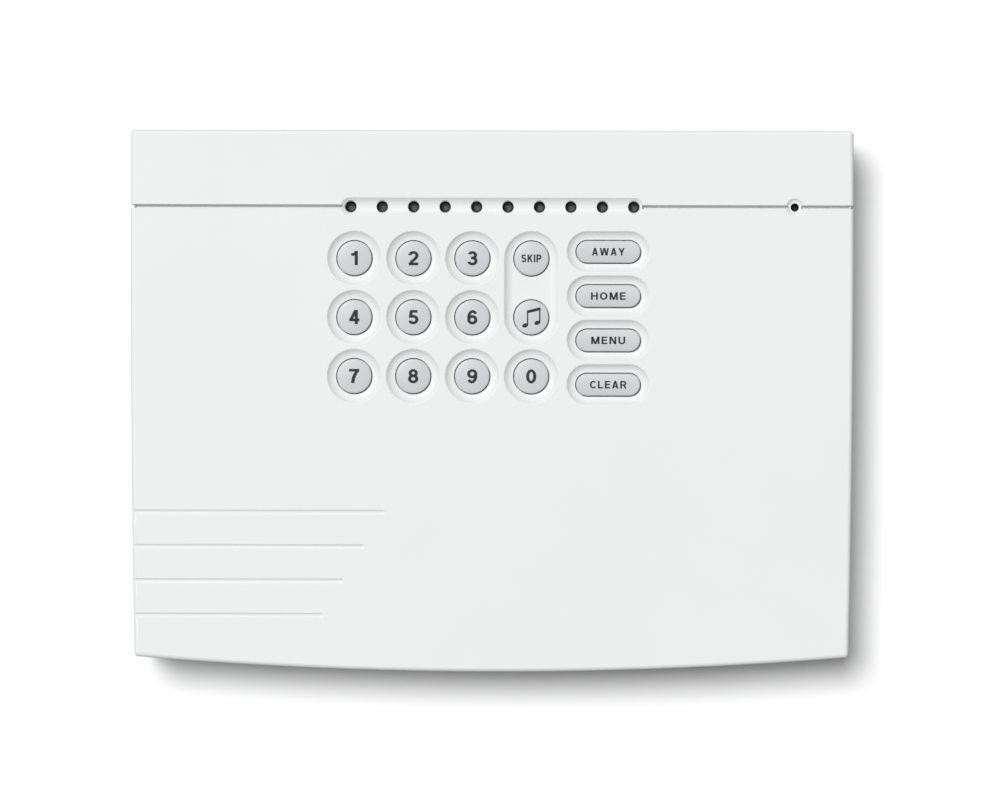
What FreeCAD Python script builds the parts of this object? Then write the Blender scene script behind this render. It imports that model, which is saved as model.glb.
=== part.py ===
"""Wall-mounted alarm keypad panel: hinged front cover with captive keys, back box with board,
transformer and battery.

Frame: +Z up, the front faces -Y, +X to the right as the user sees it. The origin is on the wall
face (Y = 0), at the middle of the case outline. Millimetres.
"""
import FreeCAD, Part
import math
import os
import re

import Sketcher

V = FreeCAD.Vector
X_AXIS, Y_AXIS, Z_AXIS = V(1, 0, 0), V(0, 1, 0), V(0, 0, 1)
TURN = {
    "x": FreeCAD.Rotation(Z_AXIS, X_AXIS),
    "y": FreeCAD.Rotation(Z_AXIS, Y_AXIS),
    "z": FreeCAD.Rotation(),
}

# ---------------------------------------------------------------- driving dimensions
SIZES = {
    # case outline
    "case_width": 233.4,
    "case_height": 174.9,
    "case_depth": 58.0,
    "bottom_rise": 4.8,
    "side_draw": 1.4,
    "side_straight": 38.0,
    "corner_round": 1.2,
    "front_round": 1.3,
    # walls
    "side_wall": 2.5,
    "front_wall": 3.0,
    "back_wall": 2.5,
    "parting_gap": 0.5,
    "lip_gap": 0.5,
    "lip_wall": 2.0,
    "lip_reach": 11.5,
    "joint_eps": 0.5,
    # hinge along the top rear edge
    "hinge_drop": 3.2,
    "hinge_set": 7.6,
    "knuckle_radius": 3.2,
    "lug_radius": 3.0,
    "lug_width": 6.0,
    "lug_clear": 0.4,
    "lug_inset": 1.2,
    "pin_radius": 1.5,
    "pin_clear": 0.05,
    "pin_reach": 14.0,
    "pin_head_set": 0.3,
    "lip_under_hinge": 0.8,
    # cover screws in the underside
    "cover_screw_x": 70.0,
    "cover_screw_set": 8.0,
    "cover_screw_radius": 1.75,
    "cover_head_radius": 3.4,
    "cover_head_thick": 2.4,
    "cover_screw_length": 9.0,
    "seat_slack": 0.12,
    "notch_clear": 0.45,
    "recess_clear": 0.6,
    "pad_rise": 7.0,
    "pad_thick": 2.5,
    "pad_half": 7.0,
    "pad_front": 15.0,
    "pad_gap": 0.2,
    # groove and indicator channel across the top of the front
    "groove_drop": 24.75,
    "groove_width": 1.1,
    "groove_depth": 2.2,
    "side_groove_depth": 0.9,
    "groove_lap": 0.6,
    "channel_end": 3.33,
    "channel_height": 6.1,
    "channel_depth": 1.3,
    "channel_back": 2.9,
    "channel_margin": 2.5,
    "led_pitch": 10.16,
    "led_hole_radius": 1.82,
    "power_x": 97.7,
    "power_hole_radius": 1.35,
    "dimple_radius": 2.8,
    "dimple_depth": 0.9,
    # keys
    "key_pitch": 19.05,
    "key_left": -44.5,
    "key_drop": 41.4,
    "key_radius": 5.55,
    "key_gap": 0.35,
    "key_crown": 0.35,
    "key_edge": 0.45,
    "key_sink": 0.1,
    "key_flange": 1.35,
    "key_flange_thick": 1.2,
    "key_travel": 1.3,
    "key_spare": 0.2,
    "stem_half": 2.2,
    "stem_clear": 0.15,
    "well_band": 2.85,
    "well_depth": 1.5,
    # function keys
    "function_x": 37.5,
    "function_drop": 39.2,
    "function_pitch": 14.31,
    "function_length": 20.6,
    "function_height": 7.1,
    "function_band": 2.7,
    "function_stem_half": 6.0,
    # shallow lines in the lower left of the front
    "line_drop": 123.6,
    "line_pitch": 11.1,
    "line_end": -35.3,
    "line_step": -6.6,
    "line_width": 1.7,
    "line_depth": 0.5,
    # key retainer
    "retainer_left": -59.5,
    "retainer_right": 57.5,
    "retainer_top_drop": 33.25,
    "retainer_low_drop": 89.95,
    "retainer_thick": 1.5,
    "retainer_screw_in": 3.5,
    "retainer_screw_radius": 1.25,
    "retainer_head_radius": 2.3,
    "retainer_head_thick": 1.3,
    "retainer_boss_radius": 2.6,
    "retainer_bite": 1.0,
    # board, mat and indicators
    "board_set": 16.0,
    "board_thick": 1.6,
    "board_left": -92.0,
    "board_right": 56.0,
    "board_drop": 15.45,
    "board_height": 84.5,
    "arm_right": 104.0,
    "arm_height": 18.0,
    "post_radius": 3.4,
    "board_screw_radius": 1.5,
    "board_head_radius": 2.7,
    "board_head_thick": 1.8,
    "board_screw_bite": 8.0,
    "board_screw_in": 4.0,
    "mat_thick": 1.2,
    "mat_edge": 7.6,
    "dome_radius": 4.0,
    "dome_top_radius": 2.6,
    "dome_gap": 0.2,
    "stem_reach": 7.8,
    "led_radius": 1.5,
    "led_rim_radius": 1.9,
    "led_rim_thick": 1.0,
    "led_length": 5.3,
    "led_shy": 0.3,
    "lead_half": 0.25,
    "lead_spread": 1.27,
    "lead_clear": 0.2,
    "lead_through": 1.2,
    "spacer_half": 2.4,
    "spacer_margin": 3.0,
    # parts on the board
    "chip_x": -83.0,
    "chip_drop": 57.0,
    "chip_length": 50.8,
    "chip_half": 6.8,
    "chip_thick": 3.8,
    "chip_stand": 0.6,
    "chip_pin_pitch": 2.54,
    "chip_pin_half": 0.25,
    "relay_x": -81.5,
    "relay_drop": 77.0,
    "relay_length": 19.0,
    "relay_width": 15.4,
    "relay_thick": 9.8,
    "capacitor_x": -68.0,
    "capacitor_drop": 38.0,
    "capacitor_radius": 4.0,
    "capacitor_length": 17.0,
    "heatsink_x": -67.0,
    "heatsink_drop": 64.0,
    "heatsink_width": 13.0,
    "heatsink_length": 20.0,
    "heatsink_thick": 1.5,
    "fin_reach": 8.0,
    "fin_thick": 1.2,
    "regulator_thick": 4.4,
    "regulator_width": 6.8,
    "regulator_length": 9.0,
    "terminal_left": -58.0,
    "terminal_pitch": 5.08,
    "terminal_count": 20,
    "terminal_height": 8.4,
    "terminal_thick": 9.6,
    "terminal_screw_radius": 1.6,
    "fuse_x": 74.0,
    "fuse_radius": 2.5,
    "fuse_length": 20.0,
    "fuse_stand": 1.5,
    "clip_width": 4.0,
    "clip_wall": 0.6,
    # back box fittings
    "slot_spacing_x": 200.0,
    "slot_spacing_z": 100.0,
    "slot_middle": -14.0,
    "slot_radius": 2.4,
    "slot_length": 9.0,
    "slot_pad_rise": 1.5,
    "slot_pad_margin": 3.0,
    "cable_left": -24.0,
    "cable_right": 24.0,
    "cable_low": 18.0,
    "cable_high": 38.0,
    "grommet_x": 96.0,
    "grommet_z": -14.0,
    "grommet_bore": 4.5,
    "grommet_wall": 2.0,
    "grommet_flange": 2.2,
    "grommet_lip": 1.5,
    # battery
    "battery_right": 13.0,
    "battery_width": 97.0,
    "battery_rise": 15.95,
    "battery_height": 52.0,
    "battery_thick": 43.0,
    "battery_gap": 0.5,
    "battery_round": 1.5,
    "tab_half": 2.4,
    "tab_thick": 0.8,
    "tab_reach": 6.0,
    "red_way": 11.5,
    "black_way": 6.5,
    "ledge_wall": 2.0,
    "ledge_reach": 8.0,
    "strap_rise": 21.5,
    "strap_half": 6.0,
    "strap_thick": 1.2,
    "strap_over": 9.0,
    "strap_post_radius": 4.0,
    "wire_radius": 1.1,
    # transformer and mains side
    "transformer_x": 57.0,
    "transformer_rise": 15.45,
    "core_width": 48.0,
    "core_height": 40.0,
    "core_thick": 17.0,
    "core_leg": 8.0,
    "coil_thick": 29.0,
    "coil_gap": 0.2,
    "core_stand": 10.0,
    "foot_reach": 7.0,
    "foot_thick": 1.6,
    "foot_screw_radius": 1.75,
    "foot_head_radius": 3.2,
    "foot_head_thick": 2.2,
    "mains_x": 96.0,
    "mains_rise": 49.45,
    "mains_width": 22.0,
    "mains_height": 14.0,
    "mains_thick": 16.0,
    # sounder and tamper switch
    "sounder_x": 78.0,
    "sounder_drop": 56.0,
    "sounder_radius": 15.0,
    "sounder_thick": 9.0,
    "sounder_wall": 1.2,
    "sounder_stand": 24.0,
    "sounder_port": 3.0,
    "disc_thick": 0.6,
    "tamper_x": -67.0,
    "tamper_drop": 10.0,
    "tamper_half": 3.0,
    "tamper_thick": 6.8,
    "striker_radius": 2.4,
    "plunger_radius": 1.5,
    "plunger_clear": 0.08,
    "plunger_travel": 1.2,
    "plunger_gap": 0.3,
    "plunger_seat": 3.3,
    "plunger_spare": 0.3,
    # small fits shared by several pieces
    "post_top_in": 3.0,
    "post_right_in": 3.2,
    "boss_short": 1.5,
    "boss_set": 1.0,
    "sounder_port_deep": 3.0,
    "boss_clear": 0.6,
    "screw_slot_half": 0.4,
    "screw_slot_deep": 0.7,
    "lead_seat": 0.3,
    "fin_gap": 1.5,
    "regulator_gap": 0.5,
    "strip_rise": 1.0,
    "way_half": 1.5,
    "way_front": 3.0,
    "way_rear": 6.5,
    "way_high": 4.0,
    "clamp_front": 1.2,
    "clamp_rear": 4.0,
    "clamp_slot": 0.7,
    "clamp_slot_half": 0.3,
    "shoe_front": 2.5,
    "shoe_rear": 1.5,
    "shoe_side": 0.6,
    "shoe_rise": 0.6,
    "wire_entry": 4.75,
    "wire_bend": 3.5,
    "wire_into_strip": 3.0,
    "mains_clamp_front": 2.5,
    "mains_clamp_rear": 6.0,
    "foot_half": 5.0,
    # how far a cutting tool runs past the piece it cuts
    "cut_near": 1.0,
    "cut_past": 5.0,
    "cut_far": 50.0,
}


# places that follow the case or the board, worked out from the sizes above
LINKED = {
    "battery_left": "battery_right - battery_width",
    "channel_length": "9 * led_pitch + 2 * channel_end",
    "retainer_low": "case_height / 2 - retainer_low_drop",
    "board_stand": "case_depth - board_set",
    "board_top": "case_height / 2 - board_drop",
    "board_low": "board_top - board_height",
    "arm_low": "board_top - arm_height",
    "chip_low": "board_top - chip_drop",
    "relay_low": "board_top - relay_drop",
    "capacitor_low": "board_top - capacitor_drop",
    "heatsink_low": "board_top - heatsink_drop",
    "battery_low": "battery_rise - case_height / 2",
    "strap_z": "battery_low + strap_rise",
    "transformer_low": "transformer_rise - case_height / 2",
    "mains_z": "mains_rise - case_height / 2",
    "sounder_z": "board_top - sounder_drop",
    "tamper_z": "board_top - tamper_drop",
}

doc = FreeCAD.newDocument("alarm_keypad_panel")
sheet = doc.addObject("Spreadsheet::Sheet", "sizes")
for row, alias in enumerate([*SIZES, *LINKED], start=1):
    sheet.setAlias(f"A{row}", alias)
for row, value in enumerate([*SIZES.values(), *("=" + rule for rule in LINKED.values())], start=1):
    sheet.set(f"A{row}", str(value))
doc.recompute()

KNOWN = {*SIZES, *LINKED}
nodes = []


# ---------------------------------------------------------------- small modelling vocabulary
def size(alias):
    """A driving dimension as a number."""
    return float(sheet.get(alias))


def linked(text):
    """The expression with every dimension's name pointing at its cell."""
    return re.sub(r"[a-z][a-z_]*[a-z]", lambda m: "sizes." + m[0] if m[0] in KNOWN else m[0], str(text))


def bind(thing, prop, text):
    thing.setExpression(prop, linked(text))


def less(a, b):
    return f"({a}) - ({b})"


def block(name, x, y, z):
    """A box between low and high expressions on each axis."""
    box = doc.addObject("Part::Box", name)
    for prop, axis, (low, high) in zip(("Length", "Width", "Height"), "xyz", (x, y, z)):
        bind(box, prop, less(high, low))
        bind(box, f"Placement.Base.{axis}", low)
    return box


def rod(name, axis, place, radius, span):
    """A round bar along an axis: place is its centre on the other two, span its two ends."""
    bar = doc.addObject("Part::Cylinder", name)
    bar.Placement = FreeCAD.Placement(V(), TURN[axis])
    bind(bar, "Radius", radius)
    bind(bar, "Height", less(span[1], span[0]))
    others = [a for a in "xyz" if a != axis]
    for other, text in zip(others, place):
        bind(bar, f"Placement.Base.{other}", text)
    bind(bar, f"Placement.Base.{axis}", span[0])
    return bar


def cone(name, axis, place, radii, span):
    bar = doc.addObject("Part::Cone", name)
    bar.Placement = FreeCAD.Placement(V(), TURN[axis])
    bind(bar, "Radius1", radii[0])
    bind(bar, "Radius2", radii[1])
    bind(bar, "Height", less(span[1], span[0]))
    others = [a for a in "xyz" if a != axis]
    for other, text in zip(others, place):
        bind(bar, f"Placement.Base.{other}", text)
    bind(bar, f"Placement.Base.{axis}", span[0])
    return bar


def ball(name, place, radius):
    sphere = doc.addObject("Part::Sphere", name)
    bind(sphere, "Radius", radius)
    for axis, text in zip("xyz", place):
        bind(sphere, f"Placement.Base.{axis}", text)
    return sphere


HALF_START = {"down": 0, "left": 90, "up": 180, "right": 270}


def ring(name, place, radius, section, half=None):
    """A torus about the Y direction, whole or only the half that faces one way."""
    torus = doc.addObject("Part::Torus", name)
    start = HALF_START.get(half, 0)
    torus.Placement = FreeCAD.Placement(V(), TURN["y"] * FreeCAD.Rotation(Z_AXIS, start))
    torus.Angle3 = 180 if half else 360
    bind(torus, "Radius1", radius)
    bind(torus, "Radius2", section)
    for axis, text in zip("xyz", place):
        bind(torus, f"Placement.Base.{axis}", text)
    return torus


def fused(name, pieces):
    if len(pieces) == 1:
        return pieces[0]
    union = doc.addObject("Part::MultiFuse", name)
    union.Shapes = pieces
    return union


def cut(name, base, tools):
    result = doc.addObject("Part::Cut", name)
    result.Base = base
    result.Tool = fused(name + "_tools", tools)
    return result


def grouped(name, pieces):
    """Separate solids that share one node."""
    compound = doc.addObject("Part::Compound", name)
    compound.Links = pieces
    return compound


def node(label, thing):
    thing.Label = label
    nodes.append(thing)
    return thing


def origin_plane(body, role):
    return next(f for f in body.Origin.OriginFeatures if f.Role == role)


def sketch_on(body, name, role, offset=None):
    sketch = body.newObject("Sketcher::SketchObject", name)
    sketch.AttachmentSupport = (origin_plane(body, role), [""])
    sketch.MapMode = "FlatFace"
    if offset is not None:
        bind(sketch, "AttachmentOffset.Base.z", offset)
    return sketch


def rule(sketch, text, kind, *where):
    """A driving constraint bound to an expression."""
    index = sketch.addConstraint(Sketcher.Constraint(kind, *where, 1.0))
    bind(sketch, f"Constraints[{index}]", text)
    return index


def between(sketch, kind, first, second):
    """Distance from one sketch point to another along the constraint's direction, as drawn."""
    a = sketch.getPoint(*first)
    b = sketch.getPoint(*second)
    return b.x - a.x if kind == "DistanceX" else b.y - a.y


def hold(sketch, text, kind, first, second):
    """A driving distance between two sketch points, bound to an expression."""
    value = between(sketch, kind, first, second)
    index = sketch.addConstraint(Sketcher.Constraint(kind, *first, *second, value))
    bind(sketch, f"Constraints[{index}]", text)


SKETCH_ORIGIN = (-1, 1)
SKETCH_UPRIGHT = -2


def case_outline(sketch, side="0", top="0", bottom="0", sizes_in=(0.0, 0.0, 0.0)):
    """The case outline in the XZ plane, drawn in by an amount at the sides, top and bottom.

    A flat top, sides that are straight and then draw in on a long arc, and an arched bottom edge.
    """
    side_in, top_in, bottom_in = sizes_in
    half = size("case_width") / 2 - side_in
    high = size("case_height") / 2 - top_in
    straight = size("side_straight") - top_in
    corner = -size("case_height") / 2 + size("bottom_rise") + bottom_in
    draw = size("side_draw")
    fall = high - straight - corner
    side_radius = (fall**2 + draw**2) / (2 * draw)
    sweep = math.asin(fall / side_radius)
    narrow = half - draw
    rise = size("bottom_rise")
    bottom_radius = (narrow**2 + rise**2) / (2 * rise)
    spread = math.asin(narrow / bottom_radius)

    def arc(x, z, radius, start, end):
        return Part.ArcOfCircle(Part.Circle(V(x, z, 0), V(0, 0, 1), radius), start, end)

    top_line = sketch.addGeometry(Part.LineSegment(V(-half, high, 0), V(half, high, 0)))
    right_line = sketch.addGeometry(Part.LineSegment(V(half, high, 0), V(half, high - straight, 0)))
    right_arc = sketch.addGeometry(arc(half - side_radius, high - straight, side_radius, -sweep, 0))
    bottom_arc = sketch.addGeometry(
        arc(0, corner - rise + bottom_radius, bottom_radius, 1.5 * math.pi - spread, 1.5 * math.pi + spread)
    )
    left_arc = sketch.addGeometry(
        arc(side_radius - half, high - straight, side_radius, math.pi, math.pi + sweep)
    )
    left_line = sketch.addGeometry(Part.LineSegment(V(-half, high - straight, 0), V(-half, high, 0)))
    for first, second in (
        ((top_line, 2), (right_line, 1)),
        ((bottom_arc, 2), (right_arc, 1)),
        ((bottom_arc, 1), (left_arc, 2)),
        ((left_line, 2), (top_line, 1)),
    ):
        sketch.addConstraint(Sketcher.Constraint("Coincident", *first, *second))
    sketch.addConstraint(Sketcher.Constraint("Tangent", right_line, 2, right_arc, 2))
    sketch.addConstraint(Sketcher.Constraint("Tangent", left_line, 1, left_arc, 1))
    sketch.addConstraint(Sketcher.Constraint("Vertical", right_line))
    sketch.addConstraint(Sketcher.Constraint("Vertical", left_line))
    for first, second in (((top_line, 1), (top_line, 2)), ((bottom_arc, 1), (bottom_arc, 2))):
        sketch.addConstraint(Sketcher.Constraint("Symmetric", *first, *second, SKETCH_UPRIGHT))
    sketch.addConstraint(Sketcher.Constraint("Equal", left_line, right_line))
    hold(sketch, f"case_width / 2 - ({side})", "DistanceX", SKETCH_ORIGIN, (top_line, 2))
    hold(sketch, f"case_height / 2 - ({top})", "DistanceY", SKETCH_ORIGIN, (top_line, 2))
    hold(sketch, f"side_straight - ({top})", "DistanceY", (right_line, 2), (right_line, 1))
    hold(sketch, "side_draw", "DistanceX", (bottom_arc, 2), (right_line, 2))
    hold(
        sketch,
        f"case_height / 2 - bottom_rise - ({bottom})",
        "DistanceY",
        (bottom_arc, 2),
        SKETCH_ORIGIN,
    )
    index = sketch.addConstraint(Sketcher.Constraint("Radius", bottom_arc, bottom_radius))
    reach = f"(case_width / 2 - ({side}) - side_draw)"
    chord = f"({reach} * {reach} + bottom_rise * bottom_rise)"
    bind(sketch, f"Constraints[{index}]", f"{chord} / (2 * bottom_rise)")


def padded(body, name, sketch, length):
    pad = body.newObject("PartDesign::Pad", name)
    pad.Profile = sketch
    bind(pad, "Length", length)
    return pad


def pocketed(body, name, sketch, length, forward):
    pocket = body.newObject("PartDesign::Pocket", name)
    pocket.Profile = sketch
    pocket.Reversed = forward
    bind(pocket, "Length", length)
    return pocket


def rounded(body, name, base, radius, wanted):
    """A fillet on the edges that wanted() picks."""
    doc.recompute()
    edges = [f"Edge{i}" for i, edge in enumerate(base.Shape.Edges, start=1) if wanted(edge)]
    fillet = body.newObject("PartDesign::Fillet", name)
    fillet.Base = (base, edges)
    bind(fillet, "Radius", radius)
    return fillet


def softened(name, base, radius, wanted):
    """A Part fillet on the edges that wanted() picks."""
    doc.recompute()
    fillet = doc.addObject("Part::Fillet", name)
    fillet.Base = base
    fillet.Edges = [
        (i, size(radius), size(radius)) for i, edge in enumerate(base.Shape.Edges, start=1) if wanted(edge)
    ]
    return fillet


def spread_of(edge, axis):
    box = edge.BoundBox
    return {"x": box.XLength, "y": box.YLength, "z": box.ZLength}[axis]


# ---------------------------------------------------------------- shared places
TOP = "case_height / 2"
FLOOR = "-case_height / 2"
FACE = "-case_depth"
AHEAD = "-case_depth - cut_past"
INSIDE = "-(case_depth - front_wall)"
PLATE = "-back_wall"
RETAINER_FRONT = f"{INSIDE} + key_flange_thick + key_travel + key_spare"
RETAINER_REAR = f"{RETAINER_FRONT} + retainer_thick"
STEM_END = f"{INSIDE} + stem_reach"
BOARD_REAR = "-board_stand"
BOARD_FRONT = "-(board_stand + board_thick)"
HINGE_Y = "-hinge_set"
HINGE_Z = "case_height / 2 - hinge_drop"
LED_Z = "case_height / 2 - groove_drop"
PAD_TOP = "-case_height / 2 + pad_rise"
SCREW_SEAT = "-case_height / 2 + pad_rise - pad_thick"
HOLE_RADIUS = "key_radius + key_gap"
SIDES = {"left": "-1", "right": "1"}

ROUND_KEYS = {
    "key_1": (0, 0),
    "key_2": (1, 0),
    "key_3": (2, 0),
    "key_skip": (3, 0),
    "key_4": (0, 1),
    "key_5": (1, 1),
    "key_6": (2, 1),
    "key_chime": (3, 1),
    "key_7": (0, 2),
    "key_8": (1, 2),
    "key_9": (2, 2),
    "key_0": (3, 2),
}
FUNCTION_KEYS = ["key_away", "key_home", "key_menu", "key_clear"]


def round_place(column, row_number):
    return f"key_left + {column} * key_pitch", f"case_height / 2 - key_drop - {row_number} * key_pitch"


def function_place(row_number):
    return "function_x", f"case_height / 2 - function_drop - {row_number} * function_pitch"


PLACES = {name: round_place(*spot) for name, spot in ROUND_KEYS.items()}
PLACES |= {name: function_place(i) for i, name in enumerate(FUNCTION_KEYS)}
LED_PLACES = [(f"({i} - 4.5) * led_pitch", LED_Z) for i in range(10)]
RETAINER_SCREWS = [
    (x, f"retainer_low + {share} * (case_height / 2 - retainer_top_drop - retainer_low)")
    for x in ("retainer_left + retainer_screw_in", "retainer_right - retainer_screw_in")
    for share in ("0.08", "0.5", "0.92")
]
BOARD_POSTS = [
    ("board_left + board_screw_in", "board_top - post_top_in"),
    ("board_left + board_screw_in", "board_low + board_screw_in"),
    ("board_right - post_right_in", "board_top - post_top_in"),
    ("board_right - post_right_in", "board_low + board_screw_in"),
    ("arm_right - board_screw_in", "arm_low + board_screw_in"),
]


def stadium(name, x, z, half_length, half_height, y, upright=False):
    """A prism along Y with round ends, level or upright."""
    run = f"(({half_length}) - ({half_height}))"
    if upright:
        low, high = (x, f"{z} - {run}"), (x, f"{z} + {run}")
        middle = block(
            name + "_middle",
            (f"{x} - ({half_height})", f"{x} + ({half_height})"),
            y,
            (low[1], high[1]),
        )
    else:
        low, high = (f"{x} - {run}", z), (f"{x} + {run}", z)
        middle = block(
            name + "_middle",
            (low[0], high[0]),
            y,
            (f"{z} - ({half_height})", f"{z} + ({half_height})"),
        )
    ends = [rod(f"{name}_end_{i}", "y", spot, half_height, y) for i, spot in enumerate((low, high))]
    return fused(name, [middle] + ends)


# ---------------------------------------------------------------- front cover
def well_section(band):
    """Radius of the dished band's arc, level where it meets the key's hole."""
    return f"({band} * {band} + well_depth * well_depth) / (2 * well_depth)"


def well_centre(band):
    return f"-case_depth + well_depth - {well_section(band)}"


def round_well(name, x, z):
    half = {"key_skip": "up", "key_chime": "down"}.get(name)
    place = (x, well_centre("well_band"), z)
    return [
        ring(name + "_dish", place, HOLE_RADIUS, well_section("well_band"), half),
        rod(name + "_well_hole", "y", (x, z), HOLE_RADIUS, (AHEAD, f"{INSIDE} + cut_near")),
    ]


def pair_well():
    """Joins the wells of the upper two keys of the fourth column into one long well."""
    x, upper = PLACES["key_skip"]
    lower = PLACES["key_chime"][1]
    sides = [
        rod(
            f"pair_side_{label}",
            "z",
            (f"{x} + {sign} * ({HOLE_RADIUS})", well_centre("well_band")),
            well_section("well_band"),
            (lower, upper),
        )
        for label, sign in SIDES.items()
    ]
    floor = block(
        "pair_floor",
        (f"{x} - ({HOLE_RADIUS})", f"{x} + {HOLE_RADIUS}"),
        (AHEAD, f"{FACE} + well_depth"),
        (lower, upper),
    )
    return sides + [floor]


def function_well(name, x, z):
    high = "(function_height / 2 + key_gap)"
    long = "(function_length / 2 + key_gap)"
    centre = well_centre("function_band")
    section = well_section("function_band")
    pieces = [stadium(name + "_hole", x, z, long, high, (AHEAD, f"{INSIDE} + cut_near"))]
    for label, sign in SIDES.items():
        end = f"{x} + {sign} * ({long} - {high})"
        pieces.append(ring(f"{name}_dish_{label}", (end, centre, z), high, section, label))
        edge = f"{z} + {sign} * {high}"
        span = (f"{x} - ({long} - {high})", f"{x} + ({long} - {high})")
        pieces.append(rod(f"{name}_band_{label}", "x", (centre, edge), section, span))
    return pieces


def trough(name, z, half, depth, ends, open_left=False):
    """A round-bottomed hollow along the front, with ball ends; an open left end runs off the edge."""
    section = f"({half} * {half} + {depth} * {depth}) / (2 * {depth})"
    centre = f"{FACE} + {depth} - {section}"
    pieces = [rod(name, "x", (centre, z), section, ends)]
    for label, x in zip(SIDES, ends):
        if not (open_left and label == "left"):
            pieces.append(ball(f"{name}_{label}", (x, centre, z), section))
    return pieces


def shallow_line(index):
    """One of the round-bottomed lines that run in from the left edge."""
    z = f"case_height / 2 - line_drop - {index} * line_pitch"
    end = f"line_end + {index} * line_step"
    return trough(f"line_{index}", z, "(line_width / 2)", "line_depth", ("-case_width / 2 - 3", end), True)


def cover_shell():
    body = doc.addObject("PartDesign::Body", "cover_shell")
    outer = sketch_on(body, "cover_outline", "XZ_Plane", "back_wall + parting_gap")
    case_outline(outer)
    pad = padded(body, "cover_block", outer, "case_depth - back_wall - parting_gap")
    wall = size("side_wall")
    inner = sketch_on(body, "cover_hollow_outline", "XZ_Plane", "back_wall + parting_gap")
    case_outline(inner, "side_wall", "side_wall", "side_wall", (wall, wall, wall))
    doc.recompute()
    solid = pad.Shape.Volume
    hollow = pocketed(
        body, "cover_hollow", inner, "case_depth - back_wall - parting_gap - front_wall", True
    )
    doc.recompute()
    if hollow.Shape.Volume > 0.4 * solid:
        raise RuntimeError("the cover's hollow did not cut")
    half_width = size("case_width") / 2
    deep = size("case_depth") - size("back_wall") - size("parting_gap")
    corners = rounded(
        body,
        "cover_corners",
        hollow,
        "corner_round",
        lambda e: abs(spread_of(e, "y") - deep) < 0.01 and abs(e.BoundBox.XMin) > half_width - 2 * wall,
    )

    def on_front_rim(edge):
        box = edge.BoundBox
        if box.YMax > -size("case_depth") + 0.01:
            return False
        return (
            max(abs(box.XMin), abs(box.XMax)) > half_width - wall
            or box.ZMin > size("case_height") / 2 - 0.01
            or box.ZMax < -size("case_height") / 2 + size("bottom_rise") + 0.1
        )

    rounded(body, "cover_front_rim", corners, "front_round", on_front_rim)
    return body


def lug_span(sign, grow="0"):
    near = f"case_width / 2 - side_wall - lug_inset + ({grow})"
    far = f"case_width / 2 - side_wall - lug_inset - lug_width - ({grow})"
    return (far, near) if sign == "1" else (f"-({near})", f"-({far})")


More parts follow.
